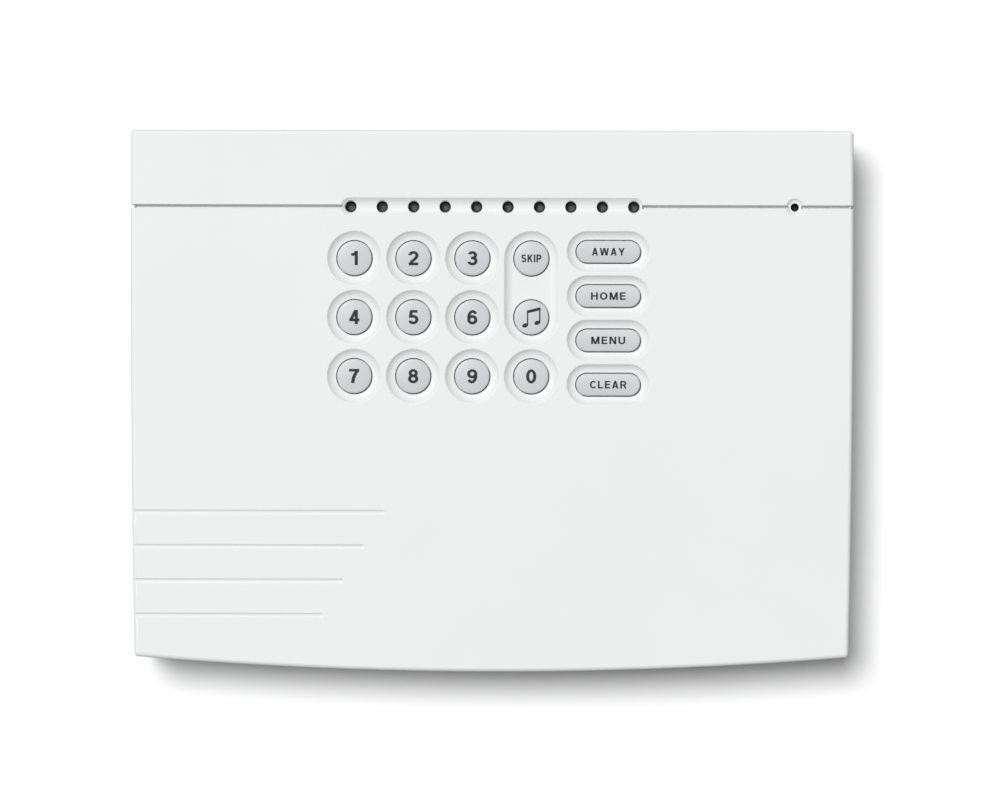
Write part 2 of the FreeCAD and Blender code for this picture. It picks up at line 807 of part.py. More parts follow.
def make_cover():
    shell = cover_shell()
    relief = block(
        "cover_hinge_relief",
        ("-case_width / 2 - cut_past", "case_width / 2 + cut_past"),
        (HINGE_Y, "cut_past"),
        (HINGE_Z, f"{TOP} + cut_past"),
    )
    adds = [
        cut("cover_open_shell", shell, [relief]),
        rod(
            "hinge_barrel",
            "x",
            (HINGE_Y, HINGE_Z),
            "knuckle_radius",
            ("-case_width / 2 + joint_eps", "case_width / 2 - joint_eps"),
        ),
        block(
            "channel_backing",
            ("-channel_length / 2 - channel_margin", "channel_length / 2 + channel_margin"),
            (f"{INSIDE} - joint_eps", f"{FACE} + channel_depth + channel_back"),
            (
                f"{LED_Z} - channel_height / 2 - channel_margin",
                f"{LED_Z} + channel_height / 2 + channel_margin",
            ),
        ),
    ]
    adds.append(
        rod(
            "tamper_striker",
            "y",
            ("tamper_x", "tamper_z"),
            "striker_radius",
            (f"{INSIDE} - joint_eps", RETAINER_FRONT),
        )
    )
    tools = []
    for i, (x, z) in enumerate(RETAINER_SCREWS):
        adds.append(
            rod(
                f"retainer_boss_{i}",
                "y",
                (x, z),
                "retainer_boss_radius",
                (f"{INSIDE} - joint_eps", RETAINER_FRONT),
            )
        )
        tools.append(
            rod(
                f"retainer_pilot_{i}",
                "y",
                (x, z),
                "retainer_screw_radius",
                (f"{INSIDE} - retainer_bite", f"{RETAINER_FRONT} + cut_near"),
            )
        )
    for label, sign in SIDES.items():
        x = f"{sign} * cover_screw_x"
        rise = "bottom_rise * (cover_screw_x / (case_width / 2)) ^ 2"
        adds.append(
            block(
                f"screw_pad_{label}",
                (f"{x} - pad_half", f"{x} + pad_half"),
                ("-pad_front", "-(back_wall + parting_gap)"),
                (f"{FLOOR} + {rise} + side_wall / 2", PAD_TOP),
            )
        )
        shank = "(cover_screw_radius + notch_clear)"
        head = "(cover_head_radius + recess_clear)"
        for part, radius, span in (
            ("notch", shank, (f"{FLOOR} - cut_past", f"{PAD_TOP} + cut_near")),
            ("recess", head, (f"{FLOOR} - cut_past", SCREW_SEAT)),
        ):
            tools.append(rod(f"screw_{part}_{label}", "z", (x, "-cover_screw_set"), radius, span))
            tools.append(
                block(
                    f"screw_{part}_way_{label}",
                    (f"{x} - {radius}", f"{x} + {radius}"),
                    ("-cover_screw_set", "cut_past"),
                    span,
                )
            )
        tools.append(
            block(
                f"lug_notch_{label}",
                lug_span(sign, "lug_clear"),
                (f"{HINGE_Y} - lug_radius - lug_clear", "cut_past"),
                (f"{HINGE_Z} - lug_radius - lug_clear", f"{TOP} + cut_past"),
            )
        )
        inner_end = "case_width / 2 - pin_head_set - pin_reach - lug_clear"
        outer_end = "case_width / 2 + cut_past"
        span = (inner_end, outer_end) if sign == "1" else (f"-({outer_end})", f"-({inner_end})")
        tools.append(rod(f"pin_bore_{label}", "x", (HINGE_Y, HINGE_Z), "pin_radius + pin_clear", span))
        edge = "case_width / 2"
        inner = f"{edge} - side_groove_depth"
        span = (inner, outer_end) if sign == "1" else (f"-({outer_end})", f"-({inner})")
        tools.append(
            block(
                f"side_groove_{label}",
                span,
                (AHEAD, "cut_past"),
                (f"{LED_Z} - groove_width / 2", f"{LED_Z} + groove_width / 2"),
            )
        )
    groove_runs = {
        "left": ("-case_width / 2 - cut_past", "-(channel_length / 2 - groove_lap)"),
        "middle": ("channel_length / 2 - groove_lap", "power_x - dimple_radius + groove_lap"),
        "right": ("power_x + dimple_radius - groove_lap", "case_width / 2 + cut_past"),
    }
    for label, run in groove_runs.items():
        tools.append(
            block(
                f"front_groove_{label}",
                run,
                (AHEAD, f"{FACE} + groove_depth"),
                (f"{LED_Z} - groove_width / 2", f"{LED_Z} + groove_width / 2"),
            )
        )
    tools += trough(
        "indicator_channel",
        LED_Z,
        "(channel_height / 2)",
        "channel_depth",
        ("(channel_height - channel_length) / 2", "(channel_length - channel_height) / 2"),
    )
    for i, (x, z) in enumerate(LED_PLACES):
        tools.append(rod(f"led_hole_{i}", "y", (x, z), "led_hole_radius", (AHEAD, f"{INSIDE} + cut_past")))
    dish = "(dimple_radius * dimple_radius + dimple_depth * dimple_depth) / (2 * dimple_depth)"
    tools.append(ball("power_dimple", ("power_x", f"{FACE} + dimple_depth - {dish}", LED_Z), dish))
    power_span = (AHEAD, f"{INSIDE} + cut_past")
    tools.append(rod("power_hole", "y", ("power_x", LED_Z), "power_hole_radius", power_span))
    for name in ROUND_KEYS:
        tools += round_well(name, *PLACES[name])
    tools += pair_well()
    for name in FUNCTION_KEYS:
        tools += function_well(f"well_{name}", *PLACES[name])
    for index in range(4):
        tools += shallow_line(index)
    node("front_cover", cut("front_cover", fused("cover_body", adds), tools))


# ---------------------------------------------------------------- keys
def crowned(name, cap, x, z, half, along):
    """The cap cut by a very large round surface, so its top rises to the middle."""
    bulge = f"({half}) * ({half}) / (2 * key_crown) + key_crown / 2"
    centre = f"{FACE} + key_sink + {bulge}"
    if along:
        tool = rod(f"{name}_crown", "x", (centre, z), bulge, (f"{x} - cut_far", f"{x} + cut_far"))
    else:
        tool = ball(f"{name}_crown", (x, centre, z), bulge)
    top = doc.addObject("Part::Common", f"{name}_top")
    top.Base = cap
    top.Tool = tool
    return top


def make_round_key(name, x, z):
    cap = rod(f"{name}_cap", "y", (x, z), "key_radius", (f"{FACE} + key_sink", f"{INSIDE} + joint_eps"))
    top = crowned(name, cap, x, z, "key_radius", False)
    rim = softened(
        f"{name}_rim", top, "key_edge", lambda e: e.Closed and e.BoundBox.YMax < -size("case_depth") + 2
    )
    flange = rod(
        f"{name}_flange", "y", (x, z), "key_radius + key_flange", (INSIDE, f"{INSIDE} + key_flange_thick")
    )
    stem = block(
        f"{name}_stem",
        (f"{x} - stem_half", f"{x} + stem_half"),
        (INSIDE, STEM_END),
        (f"{z} - stem_half", f"{z} + stem_half"),
    )
    node(name, fused(f"{name}_whole", [rim, flange, stem]))


def make_function_key(name, x, z):
    cap = stadium(
        f"{name}_cap",
        x,
        z,
        "(function_length / 2)",
        "(function_height / 2)",
        (f"{FACE} + key_sink", f"{INSIDE} + joint_eps"),
    )
    top = crowned(name, cap, x, z, "function_height / 2", True)
    flange = stadium(
        f"{name}_flange",
        x,
        z,
        "(function_length / 2 + key_flange)",
        "(function_height / 2 + key_flange)",
        (INSIDE, f"{INSIDE} + key_flange_thick"),
    )
    stem = block(
        f"{name}_stem",
        (f"{x} - function_stem_half", f"{x} + function_stem_half"),
        (INSIDE, STEM_END),
        (f"{z} - stem_half", f"{z} + stem_half"),
    )
    node(name, fused(f"{name}_whole", [top, flange, stem]))


def make_retainer():
    plate = block(
        "retainer_plate",
        ("retainer_left", "retainer_right"),
        (RETAINER_FRONT, RETAINER_REAR),
        ("retainer_low", f"{TOP} - retainer_top_drop"),
    )
    tools = []
    for name, (x, z) in PLACES.items():
        wide = "function_stem_half" if name in FUNCTION_KEYS else "stem_half"
        tools.append(
            block(
                f"stem_hole_{name}",
                (f"{x} - ({wide} + stem_clear)", f"{x} + {wide} + stem_clear"),
                (f"{RETAINER_FRONT} - cut_near", f"{RETAINER_REAR} + cut_near"),
                (f"{z} - (stem_half + stem_clear)", f"{z} + stem_half + stem_clear"),
            )
        )
    screws = []
    for i, (x, z) in enumerate(RETAINER_SCREWS):
        tools.append(
            rod(
                f"retainer_hole_{i}",
                "y",
                (x, z),
                "retainer_screw_radius",
                (f"{RETAINER_FRONT} - cut_near", f"{RETAINER_REAR} + cut_near"),
            )
        )
        shank_end = f"{INSIDE} - retainer_bite"
        head_end = f"{RETAINER_REAR} + retainer_head_thick"
        screws.append(
            screw(
                f"retainer_screw_{i}",
                "y",
                (x, z),
                ("retainer_screw_radius", "retainer_head_radius"),
                (shank_end, RETAINER_REAR, head_end),
            )
        )
    node("key_retainer", cut("retainer", plate, tools))
    node("retainer_screws", grouped("retainer_screw_set", screws))


def screw(name, axis, place, radii, stops, head_low=False):
    """A pan-head screw: stops are the shank's end, the head's seat and the head's top."""
    shank_end, seat, top = stops
    shank_span, head_span = (shank_end, seat), (seat, top)
    slot_span = (f"{top} - screw_slot_deep", f"{top} + cut_near")
    if head_low:
        shank_span, head_span = (seat, shank_end), (top, seat)
        slot_span = (f"{top} - cut_near", f"{top} + screw_slot_deep")
    shank = rod(f"{name}_shank", axis, place, radii[0], shank_span)
    head = rod(f"{name}_head", axis, place, radii[1], head_span)
    others = [a for a in "xyz" if a != axis]
    spans = {
        axis: slot_span,
        others[0]: (f"{place[0]} - {radii[1]} - cut_near", f"{place[0]} + {radii[1]} + cut_near"),
        others[1]: (f"{place[1]} - screw_slot_half", f"{place[1]} + screw_slot_half"),
    }
    slot = block(f"{name}_slot", spans["x"], spans["y"], spans["z"])
    return cut(name, fused(f"{name}_blank", [shank, head]), [slot])


# ---------------------------------------------------------------- back box
def back_plate():
    body = doc.addObject("PartDesign::Body", "back_plate")
    flange = sketch_on(body, "plate_outline", "XZ_Plane")
    case_outline(flange)
    plate = padded(body, "plate", flange, "back_wall")
    half_width = size("case_width") / 2
    wall = size("side_wall")
    rounded(
        body,
        "plate_corners",
        plate,
        "corner_round",
        lambda e: abs(spread_of(e, "y") - size("back_wall")) < 0.01
        and abs(e.BoundBox.XMin) > half_width - 2 * wall,
    )
    inset = "side_wall + lip_gap"
    under = "2 * hinge_drop + lip_under_hinge"
    inset_size = wall + size("lip_gap")
    under_size = 2 * size("hinge_drop") + size("lip_under_hinge")
    lip = sketch_on(body, "lip_outline", "XZ_Plane", "back_wall")
    case_outline(lip, inset, under, inset, (inset_size, under_size, inset_size))
    thick = size("lip_wall")
    case_outline(
        lip,
        f"{inset} + lip_wall",
        f"{under} + lip_wall",
        f"{inset} + lip_wall",
        (inset_size + thick, under_size + thick, inset_size + thick),
    )
    padded(body, "lip", lip, "lip_reach")
    return body


def make_back_box():
    adds = []
    tools = []
    pins = []
    for label, sign in SIDES.items():
        lug = lug_span(sign)
        adds.append(rod(f"lug_round_{label}", "x", (HINGE_Y, HINGE_Z), "lug_radius", lug))
        adds.append(
            block(
                f"lug_root_{label}",
                lug,
                (HINGE_Y, f"{PLATE} + joint_eps"),
                (f"{HINGE_Z} - lug_radius", f"{HINGE_Z} + lug_radius"),
            )
        )
        outer = "case_width / 2 - pin_head_set"
        inner = f"{outer} - pin_reach"
        span = (inner, outer) if sign == "1" else (f"-({outer})", f"-({inner})")
        pins.append(rod(f"hinge_pin_{label}", "x", (HINGE_Y, HINGE_Z), "pin_radius", span))
        tools.append(rod(f"lug_hole_{label}", "x", (HINGE_Y, HINGE_Z), "pin_radius", span))
        x = f"{sign} * cover_screw_x"
        boss_low = f"{PAD_TOP} + pad_gap"
        adds.append(
            block(
                f"screw_boss_{label}",
                (f"{x} - pad_half", f"{x} + pad_half"),
                ("-pad_front + boss_set", f"{PLATE} + joint_eps"),
                (boss_low, f"{boss_low} + cover_screw_length - boss_short"),
            )
        )
        tools.append(
            rod(
                f"boss_hole_{label}",
                "z",
                (x, "-cover_screw_set"),
                "cover_screw_radius",
                (f"{boss_low} - cut_near", f"{SCREW_SEAT} + cover_screw_length"),
            )
        )
    lip_cuts = [
        block(
            f"lip_gap_{label}",
            (
                f"{sign} * cover_screw_x - pad_half - boss_clear",
                f"{sign} * cover_screw_x + pad_half + boss_clear",
            ),
            ("-pad_front - cut_past", PLATE),
            (f"{FLOOR} - cut_past", f"{PAD_TOP} + pad_gap"),
        )
        for label, sign in SIDES.items()
    ]
    adds.insert(0, cut("back_shell", back_plate(), lip_cuts))
    for i, (x, z) in enumerate(BOARD_POSTS):
        adds.append(rod(f"board_post_{i}", "y", (x, z), "post_radius", (BOARD_REAR, f"{PLATE} + joint_eps")))
        tools.append(
            rod(
                f"board_post_hole_{i}",
                "y",
                (x, z),
                "board_screw_radius",
                (f"{BOARD_REAR} - cut_near", f"{BOARD_REAR} + board_screw_bite"),
            )
        )
    for i, (x, z) in enumerate(WALL_SLOTS):
        long = "slot_length / 2 + slot_pad_margin"
        high = "slot_radius + slot_pad_margin"
        adds.append(
            stadium(
                f"slot_pad_{i}",
                x,
                z,
                f"({long})",
                f"({high})",
                (f"{PLATE} - slot_pad_rise", f"{PLATE} + joint_eps"),
            )
        )
        slot_span = (f"{PLATE} - cut_past", "cut_past")
        tools.append(stadium(f"slot_{i}", x, z, "(slot_length / 2)", "slot_radius", slot_span))
    tools.append(
        block(
            "cable_opening",
            ("cable_left", "cable_right"),
            (f"{PLATE} - cut_past", "cut_past"),
            ("cable_low", "cable_high"),
        )
    )
    tools.append(
        rod(
            "grommet_hole",
            "y",
            ("grommet_x", "grommet_z"),
            "grommet_bore + grommet_wall",
            (f"{PLATE} - cut_past", "cut_past"),
        )
    )
    adds += battery_ledge() + post_set()
    for i, (x, z) in enumerate(STRAP_POSTS):
        tools.append(
            rod(
                f"strap_post_hole_{i}",
                "y",
                (x, z),
                "board_screw_radius",
                (f"{BATTERY_FRONT} - cut_near", f"{BATTERY_FRONT} + board_screw_bite"),
            )
        )
    for i, (x, z) in enumerate(FOOT_POSTS):
        tools.append(
            rod(
                f"foot_post_hole_{i}",
                "y",
                (x, z),
                "foot_screw_radius",
                (f"{CORE_REAR} - foot_thick - cut_near", PLATE),
            )
        )
    node("back_box", cut("back_box", fused("back_box_body", adds), tools))
    node("hinge_pins", grouped("hinge_pin_set", pins))


def battery_ledge():
    """A low wall on the back plate that locates the foot of the battery."""
    gap = "battery_gap"
    wall = "battery_gap + ledge_wall"
    reach = (f"{PLATE} - ledge_reach", f"{PLATE} + joint_eps")
    outer = block(
        "ledge_outer",
        (f"battery_left - ({wall})", f"battery_left + battery_width + {wall}"),
        reach,
        (f"battery_low - ({wall})", f"battery_low + battery_height + {wall}"),
    )
    inner = block(
        "ledge_inner",
        (f"battery_left - {gap}", f"battery_left + battery_width + {gap}"),
        (f"{PLATE} - ledge_reach - cut_near", f"{PLATE} + cut_near"),
        (f"battery_low - {gap}", f"battery_low + battery_height + {gap}"),
    )
    return [cut("battery_ledge", outer, [inner])]


BATTERY_REAR = "-(back_wall + battery_gap)"
BATTERY_FRONT = f"{BATTERY_REAR} - battery_thick"
CORE_REAR = "-(back_wall + core_stand)"
STRAP_POSTS = [
    ("battery_left - strap_over / 2 - 1.5", "strap_z"),
    ("battery_left + battery_width + strap_over / 2 + 1.5", "strap_z"),
]
FOOT_POSTS = [
    (f"transformer_x {sign} (core_width / 2 + foot_reach / 2)", "transformer_low + core_height / 2")
    for sign in "-+"
]
WALL_SLOTS = [
    (f"{x} * slot_spacing_x / 2", f"slot_middle + {z} * slot_spacing_z / 2")
    for x in ("-1", "1")
    for z in ("-1", "1")
]


def post_set():
    """Posts under the battery strap, the transformer's feet and the sounder."""
    posts = [
        rod(f"strap_post_{i}", "y", (x, z), "strap_post_radius", (BATTERY_FRONT, f"{PLATE} + joint_eps"))
        for i, (x, z) in enumerate(STRAP_POSTS)
    ]
    posts += [
        rod(f"foot_post_{i}", "y", (x, z), "foot_reach / 2", (CORE_REAR, f"{PLATE} + joint_eps"))
        for i, (x, z) in enumerate(FOOT_POSTS)
    ]
    posts.append(
        rod(
            "sounder_post",
            "y",
            ("sounder_x", "sounder_z"),
            "sounder_radius * 0.6",
            ("-(back_wall + sounder_stand)", f"{PLATE} + joint_eps"),
        )
    )
    return posts


def make_screws():
    set_of = []
    seat = f"{SCREW_SEAT} - seat_slack"
    for label, sign in SIDES.items():
        set_of.append(
            screw(
                f"cover_screw_{label}",
                "z",
                (f"{sign} * cover_screw_x", "-cover_screw_set"),
                ("cover_screw_radius", "cover_head_radius"),
                (f"{SCREW_SEAT} + cover_screw_length", seat, f"{seat} - cover_head_thick"),
                head_low=True,
            )
        )
    node("cover_screws", grouped("cover_screw_set", set_of))
    set_of = [
        screw(
            f"board_screw_{i}",
            "y",
            place,
            ("board_screw_radius", "board_head_radius"),
            (f"{BOARD_REAR} + board_screw_bite", BOARD_FRONT, f"{BOARD_FRONT} - board_head_thick"),
            head_low=True,
        )
        for i, place in enumerate(BOARD_POSTS)
    ]
    seat = f"{BATTERY_FRONT} - strap_thick"
    set_of += [
        screw(
            f"strap_screw_{i}",
            "y",
            place,
            ("board_screw_radius", "board_head_radius"),
            (f"{BATTERY_FRONT} + board_screw_bite", seat, f"{seat} - board_head_thick"),
            head_low=True,
        )
        for i, place in enumerate(STRAP_POSTS)
    ]
    node("pan_head_screws", grouped("pan_head_screw_set", set_of))


# ---------------------------------------------------------------- board and what stands on it
def make_board():
    slab = (BOARD_FRONT, BOARD_REAR)
    main = block("board_main", ("board_left", "board_right"), slab, ("board_low", "board_top"))
    arm = block("board_arm", ("board_right - joint_eps", "arm_right"), slab, ("arm_low", "board_top"))
    tools = [
        rod(
            f"board_hole_{i}",
            "y",
            place,
            "board_screw_radius",
            (f"{BOARD_FRONT} - cut_near", f"{BOARD_REAR} + cut_near"),
        )
        for i, place in enumerate(BOARD_POSTS)
    ]
    for i, (x, z) in enumerate(LED_PLACES + [("power_x", LED_Z)]):
        for side, sign in SIDES.items():
            through = (f"{BOARD_FRONT} - cut_near", f"{BOARD_REAR} + cut_near")
            tools.append(lead(f"board_lead_{i}_{side}", x, z, sign, through))
    node("main_board", cut("board", fused("board_blank", [main, arm]), tools))


def lead(name, x, z, sign, span, grow="0"):
    """One of the two square leads of an indicator."""
    middle = f"{x} + {sign} * lead_spread"
    half = f"(lead_half + {grow})"
    return block(
        name, (f"{middle} - {half}", f"{middle} + {half}"), span, (f"{z} - {half}", f"{z} + {half}")
    )


LED_TIP = f"{FACE} + channel_depth + channel_back + led_shy"
LED_REAR = f"{LED_TIP} + led_length"


def make_led(label, x, z, tip, rear):
    dome = ball(f"{label}_dome", (x, f"{tip} + led_radius", z), "led_radius")
    pieces = [
        dome,
        rod(f"{label}_lens", "y", (x, z), "led_radius", (f"{tip} + led_radius", rear)),
        rod(f"{label}_rim", "y", (x, z), "led_rim_radius", (f"{rear} - led_rim_thick", rear)),
    ]
    for side, sign in SIDES.items():
        pieces.append(
            lead(f"{label}_lead_{side}", x, z, sign, (f"{rear} - lead_seat", f"{BOARD_REAR} + lead_through"))
        )
    node(label, fused(f"{label}_whole", pieces))


def make_indicators():
    for i, (x, z) in enumerate(LED_PLACES):
        make_led(f"led_{i + 1}", x, z, LED_TIP, LED_REAR)
    make_led("power_led", "power_x", LED_Z, LED_TIP, LED_REAR)
    half = "spacer_half"
    long = "4.5 * led_pitch + spacer_margin"
    bar_span = (f"{LED_REAR} - cut_near", f"{BOARD_FRONT} + cut_near")
    bar = block(
        "spacer_bar",
        (f"-({long})", long),
        (LED_REAR, BOARD_FRONT),
        (f"{LED_Z} - {half}", f"{LED_Z} + {half}"),
    )
    tools = [
        lead(f"spacer_hole_{i}_{side}", x, z, sign, bar_span, "lead_clear")
        for i, (x, z) in enumerate(LED_PLACES)
        for side, sign in SIDES.items()
    ]
    long_spacer = cut("led_bar", bar, tools)
    post = rod("power_post", "y", ("power_x", LED_Z), half, (LED_REAR, BOARD_FRONT))
    tools = [
        lead(f"power_hole_{side}", "power_x", LED_Z, sign, bar_span, "lead_clear")
        for side, sign in SIDES.items()
    ]
    node("led_spacers", grouped("spacer_set", [long_spacer, cut("power_spacer", post, tools)]))


def make_mat():
    low = f"case_height / 2 - function_drop - 3 * function_pitch - mat_edge"
    high = f"case_height / 2 - function_drop + mat_edge"
    sheet_front = f"{BOARD_FRONT} - mat_thick"
    dome_top = f"{STEM_END} + dome_gap"
    pieces = [
        block(
            "mat_sheet",
            ("key_left - mat_edge", "function_x + function_length / 2 + 1.5"),
            (sheet_front, BOARD_FRONT),
            (low, high),
        )
    ]
    for name, (x, z) in PLACES.items():
        pieces.append(
            cone(f"dome_{name}", "y", (x, z), ("dome_top_radius", "dome_radius"), (dome_top, sheet_front))
        )
    node("keypad_mat", fused("mat", pieces))


def make_chip():
    body_rear = f"{BOARD_FRONT} - chip_stand"
    x = "chip_x"
    pieces = [
        block(
            "chip_body",
            (f"{x} - chip_half", f"{x} + chip_half"),
            (f"{body_rear} - chip_thick", body_rear),
            ("chip_low", "chip_low + chip_length"),
        )
    ]
    for i in range(20):
        z = f"chip_low + chip_length / 2 + ({i} - 9.5) * chip_pin_pitch"
        for side, sign in SIDES.items():
            middle = f"{x} + {sign} * chip_half"
            pieces.append(
                block(
                    f"chip_pin_{side}_{i}",
                    (f"{middle} - chip_pin_half * 2", f"{middle} + chip_pin_half * 2"),
                    (f"{body_rear} - chip_thick / 2", BOARD_FRONT),
                    (f"{z} - chip_pin_half", f"{z} + chip_pin_half"),
                )
            )
    node("controller_chip", fused("chip", pieces))


def make_board_parts():
    make_chip()
    case = block(
        "relay_case",
        ("relay_x - relay_width / 2", "relay_x + relay_width / 2"),
        (f"{BOARD_FRONT} - relay_thick", BOARD_FRONT),
        ("relay_low", "relay_low + relay_length"),
    )
    node("output_relay", softened("relay", case, "joint_eps", lambda e: spread_of(e, "y") > 1))
    node(
        "reservoir_capacitor",
        softened(
            "capacitor",
            rod(
                "capacitor_can",
                "z",
                ("capacitor_x", f"{BOARD_FRONT} - capacitor_radius"),
                "capacitor_radius",
                ("capacitor_low", "capacitor_low + capacitor_length"),
            ),
            "joint_eps",
            lambda e: e.Closed,
        ),
    )
    make_heatsink()
    make_terminals()
    make_fuse_clips()


def make_heatsink():
    half = "heatsink_width / 2"
    front = f"{BOARD_FRONT} - heatsink_thick"
    pieces = [
        block(
            "heatsink_plate",
            (f"heatsink_x - {half}", f"heatsink_x + {half}"),
            (front, BOARD_FRONT),
            ("heatsink_low", "heatsink_low + heatsink_length"),
        )
    ]
    for i in range(4):
        x = f"heatsink_x - {half} + {i} * (heatsink_width - fin_thick) / 3"
        pieces.append(
            block(
                f"fin_{i}",
                (x, f"{x} + fin_thick"),
                (f"{front} - fin_reach", BOARD_FRONT),
                ("heatsink_low", "heatsink_low + heatsink_length - regulator_length - fin_gap"),
            )
        )
    node("heatsink", fused("heatsink_whole", pieces))
    low = "heatsink_low + heatsink_length - regulator_length - regulator_gap"
    node(
        "voltage_regulator",
        block(
            "regulator",
            ("heatsink_x - regulator_width / 2", "heatsink_x + regulator_width / 2"),
            (f"{front} - regulator_thick", front),
            (low, f"{low} + regulator_length"),
        ),
    )


def make_terminals():
    front = f"{BOARD_FRONT} - terminal_thick"
    low = "board_low + strip_rise"
    bar = block(
        "terminal_bar",
        ("terminal_left", "terminal_left + terminal_count * terminal_pitch"),
        (front, BOARD_FRONT),
        (low, f"{low} + terminal_height"),
    )
    tools = []
    screws = []
    for i in range(int(size("terminal_count"))):
        x = f"terminal_left + ({i} + 0.5) * terminal_pitch"
        z = f"{low} + terminal_height * 0.6"
        top = f"{front} + clamp_front"
        bottom = f"{front} + clamp_rear"
        well = (f"{front} - cut_near", bottom)
        tools.append(rod(f"terminal_well_{i}", "y", (x, z), "terminal_screw_radius", well))
        tools.append(
            block(
                f"terminal_entry_{i}",
                (f"{x} - way_half", f"{x} + way_half"),
                (f"{front} + way_front", f"{front} + way_rear"),
                (f"{low} - cut_near", f"{low} + way_high"),
            )
        )
        head = rod(f"terminal_head_{i}", "y", (x, z), "terminal_screw_radius", (top, bottom))
        slot = block(
            f"terminal_slot_{i}",
            (f"{x} - way_front", f"{x} + way_front"),
            (f"{top} - clamp_slot", f"{top} + clamp_slot"),
            (f"{z} - clamp_slot_half", f"{z} + clamp_slot_half"),
        )
        screws.append(cut(f"terminal_screw_{i}", head, [slot]))
    node("terminal_strip", cut("terminals", bar, tools))
    node("terminal_screws", grouped("terminal_screw_set", screws))


BOARD_FUSE_Y = f"{BOARD_FRONT} - fuse_stand - fuse_radius"


def make_fuse_clips():
    clips = []
    for label, sign in SIDES.items():
        middle = f"fuse_x + {sign} * (fuse_length / 2 - clip_width / 2 - 0.4)"
        span = (f"{middle} - clip_width / 2", f"{middle} + clip_width / 2")
        outer = "(fuse_radius + clip_wall)"
        blank = block(
            f"clip_blank_{label}",
            span,
            (f"{BOARD_FUSE_Y} - fuse_radius * 0.6", BOARD_FRONT),
            (f"{LED_Z} - {outer}", f"{LED_Z} + {outer}"),
        )
        seat = rod(
            f"clip_seat_{label}",
            "x",
            (BOARD_FUSE_Y, LED_Z),
            "fuse_radius",
            ("fuse_x - cut_far", "fuse_x + cut_far"),
        )
        mouth = block(
            f"clip_mouth_{label}",
            (f"{middle} - cut_past", f"{middle} + cut_past"),
            (f"{BOARD_FUSE_Y} - cut_past", BOARD_FUSE_Y),
            (f"{LED_Z} - fuse_radius * 0.7", f"{LED_Z} + fuse_radius * 0.7"),
        )
        clips.append(cut(f"fuse_clip_{label}", blank, [seat, mouth]))
    node("fuse_clips", grouped("fuse_clip_set", clips))


# ---------------------------------------------------------------- tamper switch
def make_tamper():
    top = f"{BOARD_FRONT} - tamper_thick"
    tip = f"{RETAINER_FRONT} + plunger_gap"
    deep = f"{top} + plunger_seat"
    case = block(
        "tamper_case",
        ("tamper_x - tamper_half", "tamper_x + tamper_half"),
        (top, BOARD_FRONT),
        ("tamper_z - tamper_half", "tamper_z + tamper_half"),
    )
    well = rod(
        "tamper_well",
        "y",
        ("tamper_x", "tamper_z"),
        "plunger_radius + plunger_clear",
        (f"{top} - cut_near", f"{deep} + plunger_travel + plunger_spare"),
    )
    node("tamper_switch", cut("tamper_body", case, [well]))
    plunger = rod("tamper_rod", "y", ("tamper_x", "tamper_z"), "plunger_radius", (tip, deep))
    switch_front = -size("board_stand") - size("board_thick") - size("tamper_thick")
    nose = softened(
        "tamper_nose", plunger, "joint_eps", lambda e: e.Closed and e.BoundBox.YMax < switch_front
    )
    node("tamper_plunger", nose)


# ---------------------------------------------------------------- battery
TAB_PLACES = {
    "red": "terminal_left + red_way * terminal_pitch",
    "black": "terminal_left + black_way * terminal_pitch",
}
BATTERY_TOP = "battery_low + battery_height"
BATTERY_MIDDLE = f"{BATTERY_REAR} - battery_thick / 2"


def tab(name, x):
    return block(
        name,
        (f"{x} - tab_half", f"{x} + tab_half"),
        (f"{BATTERY_MIDDLE} - tab_thick / 2", f"{BATTERY_MIDDLE} + tab_thick / 2"),
        (f"{BATTERY_TOP} - cut_near", f"{BATTERY_TOP} + tab_reach"),
    )


def make_battery():
    case = block(
        "battery_case",
        ("battery_left", "battery_left + battery_width"),
        (BATTERY_FRONT, BATTERY_REAR),
        ("battery_low", BATTERY_TOP),
    )
    soft = softened("battery_edges", case, "battery_round", lambda e: True)
    tabs = [tab(f"battery_tab_{label}", x) for label, x in TAB_PLACES.items()]
    node("battery", fused("battery_whole", [soft] + tabs))
    for label, x in TAB_PLACES.items():
        make_battery_lead(label, x)
    strap = block(
        "strap_bar",
        ("battery_left - strap_over", "battery_left + battery_width + strap_over"),
        (f"{BATTERY_FRONT} - strap_thick", BATTERY_FRONT),
        ("strap_z - strap_half", "strap_z + strap_half"),
    )
    holes = [
        rod(
            f"strap_hole_{i}",
            "y",
            place,
            "board_screw_radius",
            (f"{BATTERY_FRONT} - cut_past", f"{BATTERY_FRONT} + cut_past"),
        )
        for i, place in enumerate(STRAP_POSTS)
    ]
    node("battery_strap", cut("strap", strap, holes))


# turns a quarter torus so that it leads from the -Y direction up to +Z
ELBOW_TURN = FreeCAD.Rotation(V(0, -1, 0), V(0, 0, -1), V(1, 0, 0), "XYZ")


